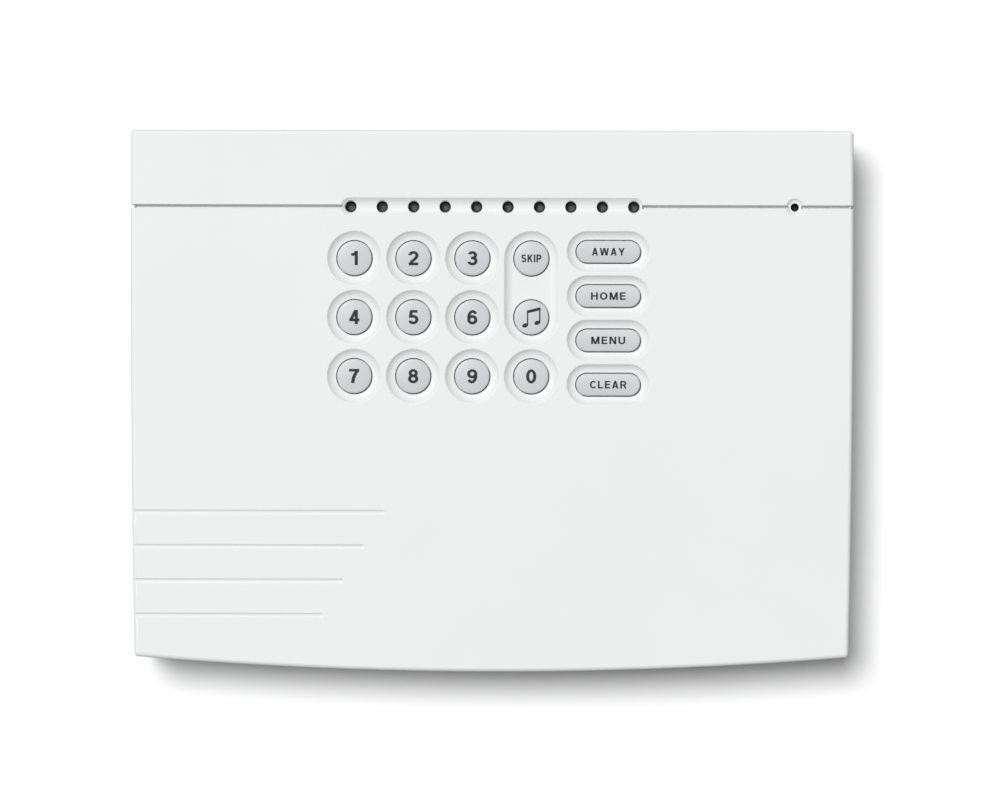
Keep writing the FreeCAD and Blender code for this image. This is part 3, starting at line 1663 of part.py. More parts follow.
def make_battery_lead(label, x):
    """A lead from a push-on connector on the battery tab up into the terminal strip."""
    z = f"{BATTERY_TOP} + (tab_reach + shoe_rise) / 2"
    front = f"{BATTERY_MIDDLE} - shoe_front"
    shoe = block(
        f"lead_shoe_{label}",
        (f"{x} - tab_half - shoe_side", f"{x} + tab_half + shoe_side"),
        (front, f"{BATTERY_MIDDLE} + shoe_rear"),
        (f"{BATTERY_TOP} + shoe_rise", f"{BATTERY_TOP} + tab_reach"),
    )
    entry = f"{BOARD_FRONT} - terminal_thick + wire_entry"
    bend = "wire_bend"
    span = (f"{entry} + {bend}", f"{front} + joint_eps")
    level = rod(f"lead_level_{label}", "y", (x, z), "wire_radius", span)
    elbow = doc.addObject("Part::Torus", f"lead_elbow_{label}")
    elbow.Placement = FreeCAD.Placement(V(), ELBOW_TURN)
    bind(elbow, "Radius1", bend)
    bind(elbow, "Radius2", "wire_radius")
    elbow.Angle1, elbow.Angle2, elbow.Angle3 = -180, 180, 90
    bind(elbow, "Placement.Base.x", x)
    bind(elbow, "Placement.Base.y", f"{entry} + {bend}")
    bind(elbow, "Placement.Base.z", f"{z} + {bend}")
    upright = (f"{z} + {bend}", "board_low + strip_rise + wire_into_strip")
    rise = rod(f"lead_rise_{label}", "z", (x, entry), "wire_radius", upright)
    whole = fused(f"lead_whole_{label}", [shoe, level, elbow, rise])
    node(f"battery_lead_{label}", cut(f"lead_{label}", whole, [tab(f"lead_tab_{label}", x)]))


# ---------------------------------------------------------------- transformer and mains side
def make_transformer():
    x = "transformer_x"
    core_front = f"{CORE_REAR} - core_thick"
    low = "transformer_low"
    stack = block(
        "core_stack",
        (f"{x} - core_width / 2", f"{x} + core_width / 2"),
        (core_front, CORE_REAR),
        (low, f"{low} + core_height"),
    )
    foot = block(
        "core_foot",
        (f"{x} - core_width / 2 - foot_reach", f"{x} + core_width / 2 + foot_reach"),
        (f"{CORE_REAR} - foot_thick", CORE_REAR),
        (f"{low} + core_height / 2 - foot_half", f"{low} + core_height / 2 + foot_half"),
    )
    inside = (f"{low} + core_leg", f"{low} + core_height - core_leg")
    windows = [
        block(
            f"core_window_{label}",
            tuple(
                sorted_span(
                    sign, f"{x} + {sign} * (core_leg * 0.75)", f"{x} + {sign} * (core_width / 2 - core_leg)"
                )
            ),
            (f"{core_front} - cut_near", f"{CORE_REAR} + cut_near"),
            inside,
        )
        for label, sign in SIDES.items()
    ]
    holes = [
        rod(
            f"foot_hole_{i}",
            "y",
            place,
            "foot_screw_radius",
            (f"{CORE_REAR} - cut_past", f"{CORE_REAR} + cut_past"),
        )
        for i, place in enumerate(FOOT_POSTS)
    ]
    core = fused("core_whole", [stack, foot])
    node("transformer_core", cut("core", core, windows + holes))
    middle = f"({CORE_REAR} - core_thick / 2)"
    winding = block(
        "winding",
        (f"{x} - core_width / 2 + core_leg + coil_gap", f"{x} + core_width / 2 - core_leg - coil_gap"),
        (f"{middle} - coil_thick / 2", f"{middle} + coil_thick / 2"),
        (f"{inside[0]} + coil_gap", f"{inside[1]} - coil_gap"),
    )
    rounded_winding = softened("winding_edges", winding, "battery_round", lambda e: spread_of(e, "z") > 5)
    passage = block(
        "leg_passage",
        (f"{x} - core_leg * 0.75", f"{x} + core_leg * 0.75"),
        (core_front, CORE_REAR),
        (f"{low} - cut_near", f"{low} + core_height + cut_near"),
    )
    strip = block(
        "foot_passage",
        (f"{x} - core_width", f"{x} + core_width"),
        (f"{CORE_REAR} - foot_thick", CORE_REAR),
        (f"{low} + core_height / 2 - foot_half", f"{low} + core_height / 2 + foot_half"),
    )
    node("transformer_coil", cut("coil", rounded_winding, [passage, strip]))
    seat = f"{CORE_REAR} - foot_thick"
    screws = [
        screw(
            f"foot_screw_{i}",
            "y",
            place,
            ("foot_screw_radius", "foot_head_radius"),
            (PLATE, seat, f"{seat} - foot_head_thick"),
            head_low=True,
        )
        for i, place in enumerate(FOOT_POSTS)
    ]
    node("transformer_screws", grouped("foot_screw_set", screws))


def sorted_span(sign, near, far):
    return (near, far) if sign == "1" else (far, near)


def make_mains():
    front = f"{PLATE} - mains_thick"
    case = block(
        "mains_case",
        ("mains_x - mains_width / 2", "mains_x + mains_width / 2"),
        (front, PLATE),
        ("mains_z - mains_height / 2", "mains_z + mains_height / 2"),
    )
    tools = []
    screws = []
    for i in (-1, 0, 1):
        x = f"mains_x + {i} * mains_width / 3.3"
        z = "mains_z - mains_height / 4"
        bottom = f"{front} + mains_clamp_rear"
        top = f"{front} + mains_clamp_front"
        well = (f"{front} - cut_near", bottom)
        tools.append(rod(f"mains_well_{i}", "y", (x, z), "terminal_screw_radius", well))
        head = rod(f"mains_head_{i}", "y", (x, z), "terminal_screw_radius", (top, bottom))
        slot = block(
            f"mains_slot_{i}",
            (f"{x} - way_front", f"{x} + way_front"),
            (f"{top} - cut_near", f"{top} + clamp_slot"),
            (f"{z} - clamp_slot_half", f"{z} + clamp_slot_half"),
        )
        screws.append(cut(f"mains_screw_{i}", head, [slot]))
    fuse_z = "mains_z + mains_height / 4"
    span = ("mains_x - fuse_length / 2", "mains_x + fuse_length / 2")
    tools.append(rod("mains_fuse_seat", "x", (front, fuse_z), "fuse_radius", span))
    node("mains_terminal", cut("mains_block", case, tools))
    node("mains_terminal_screws", grouped("mains_screw_set", screws))
    mains_fuse = rod("mains_fuse_tube", "x", (front, fuse_z), "fuse_radius", span)
    board_span = ("fuse_x - fuse_length / 2", "fuse_x + fuse_length / 2")
    board_fuse = rod("board_fuse_tube", "x", (BOARD_FUSE_Y, LED_Z), "fuse_radius", board_span)
    node("glass_fuses", grouped("fuse_set", [mains_fuse, board_fuse]))


def make_grommet():
    place = ("grommet_x", "grommet_z")
    sleeve = "grommet_bore + grommet_wall"
    flange = f"{sleeve} + grommet_flange"
    pieces = [
        rod("grommet_sleeve", "y", place, sleeve, (f"{PLATE} - grommet_lip", "0")),
        rod("grommet_lip_ring", "y", place, flange, (f"{PLATE} - grommet_lip", PLATE)),
    ]
    bore = rod("grommet_bore_hole", "y", place, "grommet_bore", (f"{PLATE} - cut_past", "cut_past"))
    node("mains_grommet", cut("grommet", fused("grommet_whole", pieces), [bore]))


# ---------------------------------------------------------------- sounder
def make_sounder():
    rear = "-(back_wall + sounder_stand)"
    front = f"{rear} - sounder_thick"
    place = ("sounder_x", "sounder_z")
    can = rod("sounder_can", "y", place, "sounder_radius", (front, rear))
    hollow = rod(
        "sounder_hollow",
        "y",
        place,
        "sounder_radius - sounder_wall",
        (f"{front} + sounder_wall", f"{rear} - sounder_wall"),
    )
    port_span = (f"{front} - cut_near", f"{front} + sounder_port_deep")
    port = rod("sounder_port_hole", "y", place, "sounder_port", port_span)
    node("sounder_case", cut("sounder", can, [hollow, port]))
    middle = f"{rear} - sounder_thick / 2"
    node(
        "sounder_disc",
        rod("disc", "y", place, "sounder_radius - sounder_wall", (middle, f"{middle} + disc_thick")),
    )


# ---------------------------------------------------------------- build, check and write
def problems():
    found = []
    for thing in doc.Objects:
        if "Invalid" in thing.State or "Error" in thing.State:
            found.append(f"{thing.Name}: {thing.State}")
    for thing in nodes:
        if thing.Shape.isNull() or not thing.Shape.isValid() or not thing.Shape.Solids:
            found.append(f"{thing.Label}: no valid solid")
    return found


def main():
    make_cover()
    make_retainer()
    for name in ROUND_KEYS:
        make_round_key(name, *PLACES[name])
    for name in FUNCTION_KEYS:
        make_function_key(name, *PLACES[name])
    make_back_box()
    make_screws()
    make_board()
    make_mat()
    make_indicators()
    make_board_parts()
    make_tamper()
    make_battery()
    make_transformer()
    make_mains()
    make_grommet()
    make_sounder()
    doc.recompute()
    found = problems()
    if found:
        raise RuntimeError("the model has faults: " + "; ".join(found))
    os.makedirs("parts", exist_ok=True)
    for thing in nodes:
        thing.Shape.exportStep(f"parts/{thing.Label}.step")
        print(thing.Label, len(thing.Shape.Solids), round(thing.Shape.Volume, 2))
    print(len(nodes), "nodes")


main()
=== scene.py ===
"""Looks for the alarm keypad panel: a moulded white cover with dished key wells, silver-grey keys
with printed legends, dark indicators in a channel, and everything that shows once the cover swings up.

Metres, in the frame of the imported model: +Z up, the front faces -Y.
"""
import math

import bmesh
import bpy
from mathutils import Matrix, Vector


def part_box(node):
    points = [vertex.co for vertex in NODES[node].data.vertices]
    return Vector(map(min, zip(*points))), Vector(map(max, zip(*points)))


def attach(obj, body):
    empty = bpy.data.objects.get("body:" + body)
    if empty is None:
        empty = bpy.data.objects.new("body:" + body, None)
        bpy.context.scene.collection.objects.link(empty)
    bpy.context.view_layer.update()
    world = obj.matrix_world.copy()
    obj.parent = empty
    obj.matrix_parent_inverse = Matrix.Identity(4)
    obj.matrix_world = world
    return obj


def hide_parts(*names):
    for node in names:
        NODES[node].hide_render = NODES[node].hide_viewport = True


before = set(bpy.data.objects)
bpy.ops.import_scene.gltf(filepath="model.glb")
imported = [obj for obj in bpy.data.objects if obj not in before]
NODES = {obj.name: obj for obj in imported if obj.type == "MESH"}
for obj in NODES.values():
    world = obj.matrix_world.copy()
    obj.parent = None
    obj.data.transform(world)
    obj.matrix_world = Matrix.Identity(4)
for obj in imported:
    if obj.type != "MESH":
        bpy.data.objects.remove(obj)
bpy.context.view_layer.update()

MM = 0.001
scene = bpy.context.scene

# ---------------------------------------------------------------- places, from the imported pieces
COVER_LOW, COVER_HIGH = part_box("front_cover")
FACE = COVER_LOW.y
REAR = COVER_HIGH.y
HALF_WIDTH = COVER_HIGH.x
HALF_HEIGHT = COVER_HIGH.z
FRONT_WALL = 3.0 * MM
SIDE_WALL = 2.5 * MM
BOTTOM_RISE = 4.8 * MM
SIDE_DRAW = 1.4 * MM
STRAIGHT_SIDE = 38.0 * MM
CORNER = 1.2 * MM
RIM = 1.3 * MM
THROUGH = FRONT_WALL + 3 * MM
PAST = 5 * MM
BELOW_CASE = -92 * MM

# ---------------------------------------------------------------- sizes of the cover's details
BARREL_RADIUS, BARREL_END = 3.2 * MM, 115.9 * MM
BACKING_HALF, BACKING_RISE, BACKING_REAR = 51.55 * MM, 5.55 * MM, 4.2 * MM
BOSS_RADIUS, PILOT_RADIUS, STRIKER_RADIUS = 2.6 * MM, 1.25 * MM, 2.4 * MM
SCREW_X, SCREW_SET = 70 * MM, 8 * MM
SCREW_PAD_HALF, SCREW_PAD_FRONT, SCREW_PAD_RISE = 7 * MM, 15 * MM, 7 * MM
SCREW_BORES = ((2.2 * MM, 8 * MM), (4.0 * MM, 4.5 * MM))
LUG_WAY, LUG_WAY_HALF = (106.3 * MM, 113.1 * MM), 3.4 * MM
PIN_BORE, PIN_BORE_RADIUS = (101.7 * MM, 121.4 * MM), 1.55 * MM
WELL_DEPTH, WELL_LIP, ROUND_WELL_BAND, LONG_WELL_BAND = 1.5 * MM, 0.45 * MM, 2.85 * MM, 2.7 * MM
CHANNEL_HALF, CHANNEL_BAND, CHANNEL_DEPTH, CHANNEL_LIP = 46 * MM, 2.9 * MM, 1.3 * MM, 0.16 * MM
DIMPLE_RADIUS, DIMPLE_HOLE, DIMPLE_DEPTH, DIMPLE_LIP = 2.8 * MM, 1.35 * MM, 0.9 * MM, 0.25 * MM
LINE_BAND, LINE_DEPTH, LINE_LIP = 0.85 * MM, 0.5 * MM, 0.3 * MM
LINE_START, LINE_END, LINE_STEP_IN = -125 * MM, -35.3 * MM, 6.6 * MM
LINE_DROP, LINE_PITCH, LINE_COUNT = 123.6 * MM, 11.1 * MM, 4
GROOVE_HALF, GROOVE_LIP = 0.6 * MM, 0.16 * MM
GROOVE_SIDE_DEPTH, GROOVE_FRONT_EXTRA = 0.9 * MM, 1.3 * MM
LED_HOLE_RADIUS = 1.82 * MM

# ---------------------------------------------------------------- sizes of the keys and their legends
CAP_RIM = 0.35 * MM
FLANGE_REACH, FLANGE_THICK, FLANGE_EASE = 1.35 * MM, 1.2 * MM, 0.12 * MM
STEM_HALF, LONG_STEM_HALF = 2.2 * MM, 6.0 * MM
DIGIT_HEIGHT, DIGIT_WIDTH, ONE_WIDTH, DIGIT_STROKE = 4.6 * MM, 3.3 * MM, 2.2 * MM, 0.19
SKIP_HEIGHT, SKIP_WIDTH, SKIP_STROKE = 2.55 * MM, 6.5 * MM, 0.2
WORD_HEIGHT, WORD_STROKE, WORD_TRACKING = 2.45 * MM, 0.18, 0.2
WORD_WIDTHS = {"AWAY": 10.6 * MM, "HOME": 11.2 * MM, "MENU": 11.0 * MM, "CLEAR": 11.8 * MM}
NOTE_HEIGHT, NOTE_WIDTH = 6.6 * MM, 5.9 * MM
FILM_SUNK, FILM_THICK = 0.035 * MM, 0.045 * MM


def middle(node):
    low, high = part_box(node)
    return (low + high) / 2


LED_NODES = [f"led_{i}" for i in range(1, 11)]
GROOVE_Z = middle("led_1").z
ROUND_KEYS = {
    "key_1": "1", "key_2": "2", "key_3": "3", "key_4": "4", "key_5": "5", "key_6": "6",
    "key_7": "7", "key_8": "8", "key_9": "9", "key_0": "0", "key_skip": "SKIP", "key_chime": None,
}
FUNCTION_KEYS = {"key_away": "AWAY", "key_home": "HOME", "key_menu": "MENU", "key_clear": "CLEAR"}
CAP_RADIUS = 5.55 * MM
CAP_GAP = 0.35 * MM
FUNCTION_HALF = 10.3 * MM
FUNCTION_RADIUS = 3.55 * MM
CAP_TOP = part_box("key_1")[0].y


# ---------------------------------------------------------------- mesh vocabulary
def linked(name, mesh):
    thing = bpy.data.objects.new(name, mesh)
    scene.collection.objects.link(thing)
    return thing


def baked(thing, name=None):
    """The object with its modifiers worked out, as a plain mesh object of the same name."""
    bpy.context.view_layer.update()
    depsgraph = bpy.context.evaluated_depsgraph_get()
    mesh = bpy.data.meshes.new_from_object(thing.evaluated_get(depsgraph), depsgraph=depsgraph)
    final = name or thing.name
    thing.name = final + "_raw"
    bpy.data.objects.remove(thing)
    mesh.name = final
    return linked(final, mesh)


def solid(name, build):
    """A closed mesh object from a function that fills a bmesh."""
    bm = bmesh.new()
    build(bm)
    bmesh.ops.remove_doubles(bm, verts=bm.verts, dist=1e-7)
    bmesh.ops.recalc_face_normals(bm, faces=bm.faces)
    mesh = bpy.data.meshes.new(name)
    bm.to_mesh(mesh)
    bm.free()
    return linked(name, mesh)


def skin(bm, loops, caps=True):
    """Bridges closed loops that all have the same number of points."""
    rows = [[bm.verts.new(p) for p in loop] for loop in loops]
    for first, second in zip(rows, rows[1:]):
        for i in range(len(first)):
            j = (i + 1) % len(first)
            bm.faces.new((first[i], first[j], second[j], second[i]))
    if caps:
        bm.faces.new(rows[0])
        bm.faces.new(rows[-1][::-1])
    return rows


def stadium(x, z, y, half, radius, along="x", ends=32):
    """A loop of two half circles a straight apart; half is nought for a circle."""
    points = []
    for end, start in ((1, -0.5), (-1, 0.5)):
        for i in range(ends + 1):
            turn = math.pi * (start + i / ends)
            u = end * half + radius * math.cos(turn)
            v = radius * math.sin(turn)
            points.append((x + u, y, z + v) if along == "x" else (x - v, y, z + u))
    if half == 0:
        del points[ends]
        del points[-1]
    return points


def box(bm, low, high):
    made = bmesh.ops.create_cube(bm, size=1.0)
    size = Vector(high) - Vector(low)
    centre = (Vector(high) + Vector(low)) / 2
    for vert in made["verts"]:
        vert.co = Vector((vert.co.x * size.x, vert.co.y * size.y, vert.co.z * size.z)) + centre


def bar(bm, axis, place, radius, low, high, count=48):
    """A round bar; place is its centre on the other two axes, in order."""
    loops = []
    for at in (low, high):
        loop = []
        for i in range(count):
            turn = 2 * math.pi * i / count
            point = [place[0] + radius * math.cos(turn), place[1] + radius * math.sin(turn)]
            point.insert("xyz".index(axis), at)
            loop.append(tuple(point))
        loops.append(loop)
    skin(bm, loops)


def combine(base, tools, kind):
    """Joins tools to base or cuts them from it, and takes the tools away."""
    group = bpy.data.collections.new("tools")
    for tool in tools:
        group.objects.link(tool)
    step = base.modifiers.new("shape", "BOOLEAN")
    step.operation = kind
    step.solver = "EXACT"
    step.operand_type = "COLLECTION"
    step.collection = group
    result = baked(base)
    for tool in tools:
        bpy.data.objects.remove(tool)
    bpy.data.collections.remove(group)
    return result


def smoothed(thing, angle=32):
    """Smooth shading that keeps flat faces flat and real corners crisp."""
    mesh = thing.data
    mesh.polygons.foreach_set("use_smooth", [True] * len(mesh.polygons))
    mesh.set_sharp_from_angle(angle=math.radians(angle))
    weighting = thing.modifiers.new("even", "WEIGHTED_NORMAL")
    weighting.keep_sharp = True
    weighting.weight = 80
    return baked(thing)


def dressed(thing, finish, slot, body, *nodes):
    thing.data.materials.clear()
    thing.data.materials.append(finish)
    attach(thing, body)
    if nodes:
        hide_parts(*nodes)
    return thing


# ---------------------------------------------------------------- shader groups
def group_of(name, inputs, outputs):
    tree = bpy.data.node_groups.new(name, "ShaderNodeTree")
    for label, kind, value in inputs:
        socket = tree.interface.new_socket(label, in_out="INPUT", socket_type=kind)
        if value is not None:
            socket.default_value = value
    for label, kind in outputs:
        tree.interface.new_socket(label, in_out="OUTPUT", socket_type=kind)
    return tree, tree.nodes.new("NodeGroupInput"), tree.nodes.new("NodeGroupOutput")


def noise_in(tree, vector, scale, detail=4.0, rough=0.55):
    noise = tree.nodes.new("ShaderNodeTexNoise")
    noise.inputs["Detail"].default_value = detail
    noise.inputs["Roughness"].default_value = rough
    tree.links.new(vector, noise.inputs["Vector"])
    if isinstance(scale, (int, float)):
        noise.inputs["Scale"].default_value = scale
    else:
        tree.links.new(scale, noise.inputs["Scale"])
    return noise.outputs["Fac"]


def calc(tree, kind, first, second=None, third=None, clamp=False):
    step = tree.nodes.new("ShaderNodeMath")
    step.operation = kind
    step.use_clamp = clamp
    for socket, value in zip(step.inputs, (first, second, third)):
        if value is None:
            continue
        if isinstance(value, (int, float)):
            socket.default_value = value
        else:
            tree.links.new(value, socket)
    return step.outputs[0]


def ranged(tree, value, from_low, from_high, to_low, to_high):
    step = tree.nodes.new("ShaderNodeMapRange")
    for label, number in (
        ("From Min", from_low), ("From Max", from_high), ("To Min", to_low), ("To Max", to_high)
    ):
        if isinstance(number, (int, float)):
            step.inputs[label].default_value = number
        else:
            tree.links.new(number, step.inputs[label])
    tree.links.new(value, step.inputs["Value"])
    return step.outputs["Result"]


def moulded_skin_group():
    """Spark-eroded plastic: a fine pebble, slow tone drift, and a little handling polish."""
    tree, given, put = group_of(
        "moulded_skin",
        [
            ("Vector", "NodeSocketVector", None),
            ("Colour", "NodeSocketColor", (0.8, 0.8, 0.8, 1)),
            ("Grain Scale", "NodeSocketFloat", 2600.0),
            ("Drift", "NodeSocketFloat", 0.03),
            ("Roughness", "NodeSocketFloat", 0.5),
            ("Roughness Spread", "NodeSocketFloat", 0.08),
        ],
        [("Colour", "NodeSocketColor"), ("Roughness", "NodeSocketFloat"), ("Height", "NodeSocketFloat")],
    )
    vector = given.outputs["Vector"]
    pebble = noise_in(tree, vector, given.outputs["Grain Scale"], 3.0, 0.6)
    cells = tree.nodes.new("ShaderNodeTexVoronoi")
    cells.feature = "SMOOTH_F1"
    tree.links.new(vector, cells.inputs["Vector"])
    tree.links.new(given.outputs["Grain Scale"], cells.inputs["Scale"])
    fine = calc(tree, "MULTIPLY", pebble, 0.6)
    coarse = calc(tree, "MULTIPLY", cells.outputs["Distance"], 0.4)
    height = calc(tree, "ADD", fine, coarse)
    slow = noise_in(tree, vector, 14.0, 3.0)
    amount = ranged(tree, slow, 0.3, 0.7, calc(tree, "SUBTRACT", 1.0, given.outputs["Drift"]), 1.0)
    tone = tree.nodes.new("ShaderNodeVectorMath")
    tone.operation = "SCALE"
    tree.links.new(given.outputs["Colour"], tone.inputs[0])
    tree.links.new(amount, tone.inputs["Scale"])
    tree.links.new(tone.outputs[0], put.inputs["Colour"])
    polish = noise_in(tree, vector, 55.0, 5.0)
    wander = calc(tree, "SUBTRACT", polish, 0.5)
    spread = calc(tree, "MULTIPLY", wander, given.outputs["Roughness Spread"])
    tree.links.new(calc(tree, "ADD", given.outputs["Roughness"], spread), put.inputs["Roughness"])
    tree.links.new(height, put.inputs["Height"])
    return tree


def drawn_metal_group():
    """Rolled or drawn metal: long streaks along one axis, fine scratches and dull patches."""
    tree, given, put = group_of(
        "drawn_metal",
        [
            ("Vector", "NodeSocketVector", None),
            ("Colour", "NodeSocketColor", (0.6, 0.6, 0.6, 1)),
            ("Streaks", "NodeSocketVector", (900.0, 900.0, 60.0)),
            ("Roughness", "NodeSocketFloat", 0.32),
        ],
        [("Colour", "NodeSocketColor"), ("Roughness", "NodeSocketFloat"), ("Height", "NodeSocketFloat")],
    )
    stretch = tree.nodes.new("ShaderNodeVectorMath")
    stretch.operation = "MULTIPLY"
    tree.links.new(given.outputs["Vector"], stretch.inputs[0])
    tree.links.new(given.outputs["Streaks"], stretch.inputs[1])
    streak = noise_in(tree, stretch.outputs[0], 1.0, 5.0)
    patch = noise_in(tree, given.outputs["Vector"], 160.0, 4.0)
    tone = tree.nodes.new("ShaderNodeVectorMath")
    tone.operation = "SCALE"
    tree.links.new(given.outputs["Colour"], tone.inputs[0])
    mixed = calc(tree, "ADD", calc(tree, "MULTIPLY", streak, 0.3), calc(tree, "MULTIPLY", patch, 0.3))
    tree.links.new(calc(tree, "ADD", mixed, 0.7), tone.inputs["Scale"])
    tree.links.new(tone.outputs[0], put.inputs["Colour"])
    wander = calc(tree, "MULTIPLY", calc(tree, "SUBTRACT", patch, 0.5), 0.3)
    tree.links.new(calc(tree, "ADD", given.outputs["Roughness"], wander), put.inputs["Roughness"])
    tree.links.new(streak, put.inputs["Height"])
    return tree


MOULDED = moulded_skin_group()
DRAWN = drawn_metal_group()


def finish_of(name, group, colour, rough, settings=(), shader=(), bump=0.00001, strength=0.3):
    """A material whose colour, roughness and bump come from one of the shared groups."""
    made = bpy.data.materials.new(name)
    made.use_nodes = True
    tree = made.node_tree
    principled = tree.nodes["Principled BSDF"]
    place = tree.nodes.new("ShaderNodeTexCoord")
    body = tree.nodes.new("ShaderNodeGroup")
    body.node_tree = group
    body.inputs["Colour"].default_value = (*colour, 1)
    body.inputs["Roughness"].default_value = rough
    for label, value in dict(settings).items():
        body.inputs[label].default_value = value
    tree.links.new(place.outputs["Object"], body.inputs["Vector"])
    tree.links.new(body.outputs["Colour"], principled.inputs["Base Color"])
    tree.links.new(body.outputs["Roughness"], principled.inputs["Roughness"])
    lift = tree.nodes.new("ShaderNodeBump")
    lift.inputs["Strength"].default_value = strength
    lift.inputs["Distance"].default_value = bump
    tree.links.new(body.outputs["Height"], lift.inputs["Height"])
    tree.links.new(lift.outputs["Normal"], principled.inputs["Normal"])
    for label, value in dict(shader).items():
        principled.inputs[label].default_value = value
    made.diffuse_color = (*colour, 1)
    return made


def plastic(name, colour, rough=0.45, grain=2600.0, drift=0.05, bump=0.00002, strength=0.35, **shader):
    return finish_of(
        name, MOULDED, colour, rough, {"Grain Scale": grain, "Drift": drift}, shader, bump, strength
    )


def metal(name, colour, rough=0.3, streaks=(900.0, 900.0, 60.0), **shader):
    return finish_of(
        name, DRAWN, colour, rough, {"Streaks": streaks}, {"Metallic": 1.0, **shader}, 0.00001, 0.25
    )


FINISHES = {
    "case_white": plastic("case_white", (0.80, 0.806, 0.80), 0.46, 2300.0, 0.02, 0.000016, 0.3),
    "inner_white": plastic("inner_white", (0.77, 0.775, 0.765), 0.52, 1500.0, 0.05, 0.00002, 0.4),
    "key_silver": plastic("key_silver", (0.60, 0.615, 0.62), 0.40, 3200.0, 0.03, 0.00001, 0.25),
    "legend_ink": plastic("legend_ink", (0.011, 0.011, 0.012), 0.62, 4000.0, 0.1, 0.000006, 0.3),
    "mat_silicone": plastic("mat_silicone", (0.30, 0.31, 0.32), 0.6, 1200.0, 0.08),
    "led_lens": plastic("led_lens", (0.105, 0.122, 0.12), 0.24, 900.0, 0.25, 0.000006, 0.2),
    "screw_steel": metal("screw_steel", (0.55, 0.55, 0.54), 0.3, (700.0, 700.0, 700.0)),
    "strap_steel": metal("strap_steel", (0.52, 0.53, 0.54), 0.34, (60.0, 900.0, 900.0)),
    "core_steel": metal("core_steel", (0.22, 0.21, 0.20), 0.5, (120.0, 2400.0, 120.0)),
    "bare_aluminium": metal("bare_aluminium", (0.66, 0.67, 0.68), 0.36, (900.0, 900.0, 50.0)),
    "clip_brass": metal("clip_brass", (0.72, 0.60, 0.36), 0.28, (700.0, 700.0, 90.0)),
    "board_green": plastic("board_green", (0.012, 0.16, 0.055), 0.32, 700.0, 0.35),
    "coil_tape": plastic("coil_tape", (0.72, 0.50, 0.10), 0.38, 500.0, 0.2),
    "black_plastic": plastic("black_plastic", (0.022, 0.022, 0.024), 0.42, 1800.0, 0.2),
    "relay_blue": plastic("relay_blue", (0.03, 0.10, 0.34), 0.35, 1900.0, 0.12),
    "capacitor_sleeve": plastic("capacitor_sleeve", (0.02, 0.03, 0.07), 0.25, 1200.0, 0.2),
    "terminal_green": plastic("terminal_green", (0.02, 0.28, 0.10), 0.45, 1800.0, 0.12),
    "battery_case": plastic("battery_case", (0.055, 0.058, 0.062), 0.5, 1300.0, 0.2),
    "wire_red": plastic("wire_red", (0.50, 0.015, 0.012), 0.4, 1200.0, 0.15),
    "wire_black": plastic("wire_black", (0.018, 0.018, 0.02), 0.4, 1200.0, 0.2),
    "grommet_rubber": plastic("grommet_rubber", (0.03, 0.03, 0.03), 0.7, 1400.0, 0.2),
}
FINISHES["fuse_glass"] = plastic("fuse_glass", (0.9, 0.93, 0.92), 0.06, 600.0, 0.02, 0.000004, 0.1)
glass = FINISHES["fuse_glass"].node_tree.nodes["Principled BSDF"]
glass.inputs["Transmission Weight"].default_value = 0.9
glass.inputs["IOR"].default_value = 1.47


# ---------------------------------------------------------------- front cover
def arc_between(start, end, corner, radius, steps):
    """Rounds a corner: points from one leg to the other, tangent to both."""
    first = (start - corner).normalized()
    second = (end - corner).normalized()
    half = first.angle(second) / 2
    run = radius / math.tan(half)
    centre = corner + (first + second).normalized() * radius / math.sin(half)
    begin = corner + first * run - centre
    finish = corner + second * run - centre
    sweep = begin.angle_signed(finish)
    return [centre + Matrix.Rotation(-sweep * i / steps, 2) @ begin for i in range(steps + 1)]


def case_line(inset):
    """The case outline in X and Z, drawn in by an amount: flat top, easing sides, arched bottom."""
    half, top = HALF_WIDTH - inset, HALF_HEIGHT - inset
    bend = HALF_HEIGHT - STRAIGHT_SIDE
    low = -HALF_HEIGHT + BOTTOM_RISE + inset
    fall = bend - low
    side_radius = (fall**2 + SIDE_DRAW**2) / (2 * SIDE_DRAW)
    right = []
    for i in range(9):
        drop = fall * i / 8
        right.append(Vector((half - side_radius + math.sqrt(side_radius**2 - drop**2), bend - drop)))
    narrow = right[-1].x
    sag_radius = (narrow**2 + BOTTOM_RISE**2) / (2 * BOTTOM_RISE)
    bottom = []
    for i in range(49):
        x = narrow * (1 - i / 24)
        bottom.append(Vector((x, low - BOTTOM_RISE + sag_radius - math.sqrt(sag_radius**2 - x**2))))
    left = [Vector((-p.x, p.y)) for p in reversed(right)]
    round_now = max(CORNER - inset, 0.06 * MM)
    top_right, top_left = Vector((half, top)), Vector((-half, top))
    points = arc_between(top_left, right[0], top_right, round_now, 6)
    points += right[:-1]
    points += arc_between(right[-2], bottom[1], right[-1], round_now, 6)
    points += bottom[1:-1]
    points += arc_between(bottom[-2], left[1], left[0], round_now, 6)
    points += left[1:]
    points += arc_between(left[-1], top_right, top_left, round_now, 6)
    return points


def case_loop(inset, y):
    return [(p.x, y, p.y) for p in case_line(inset)]


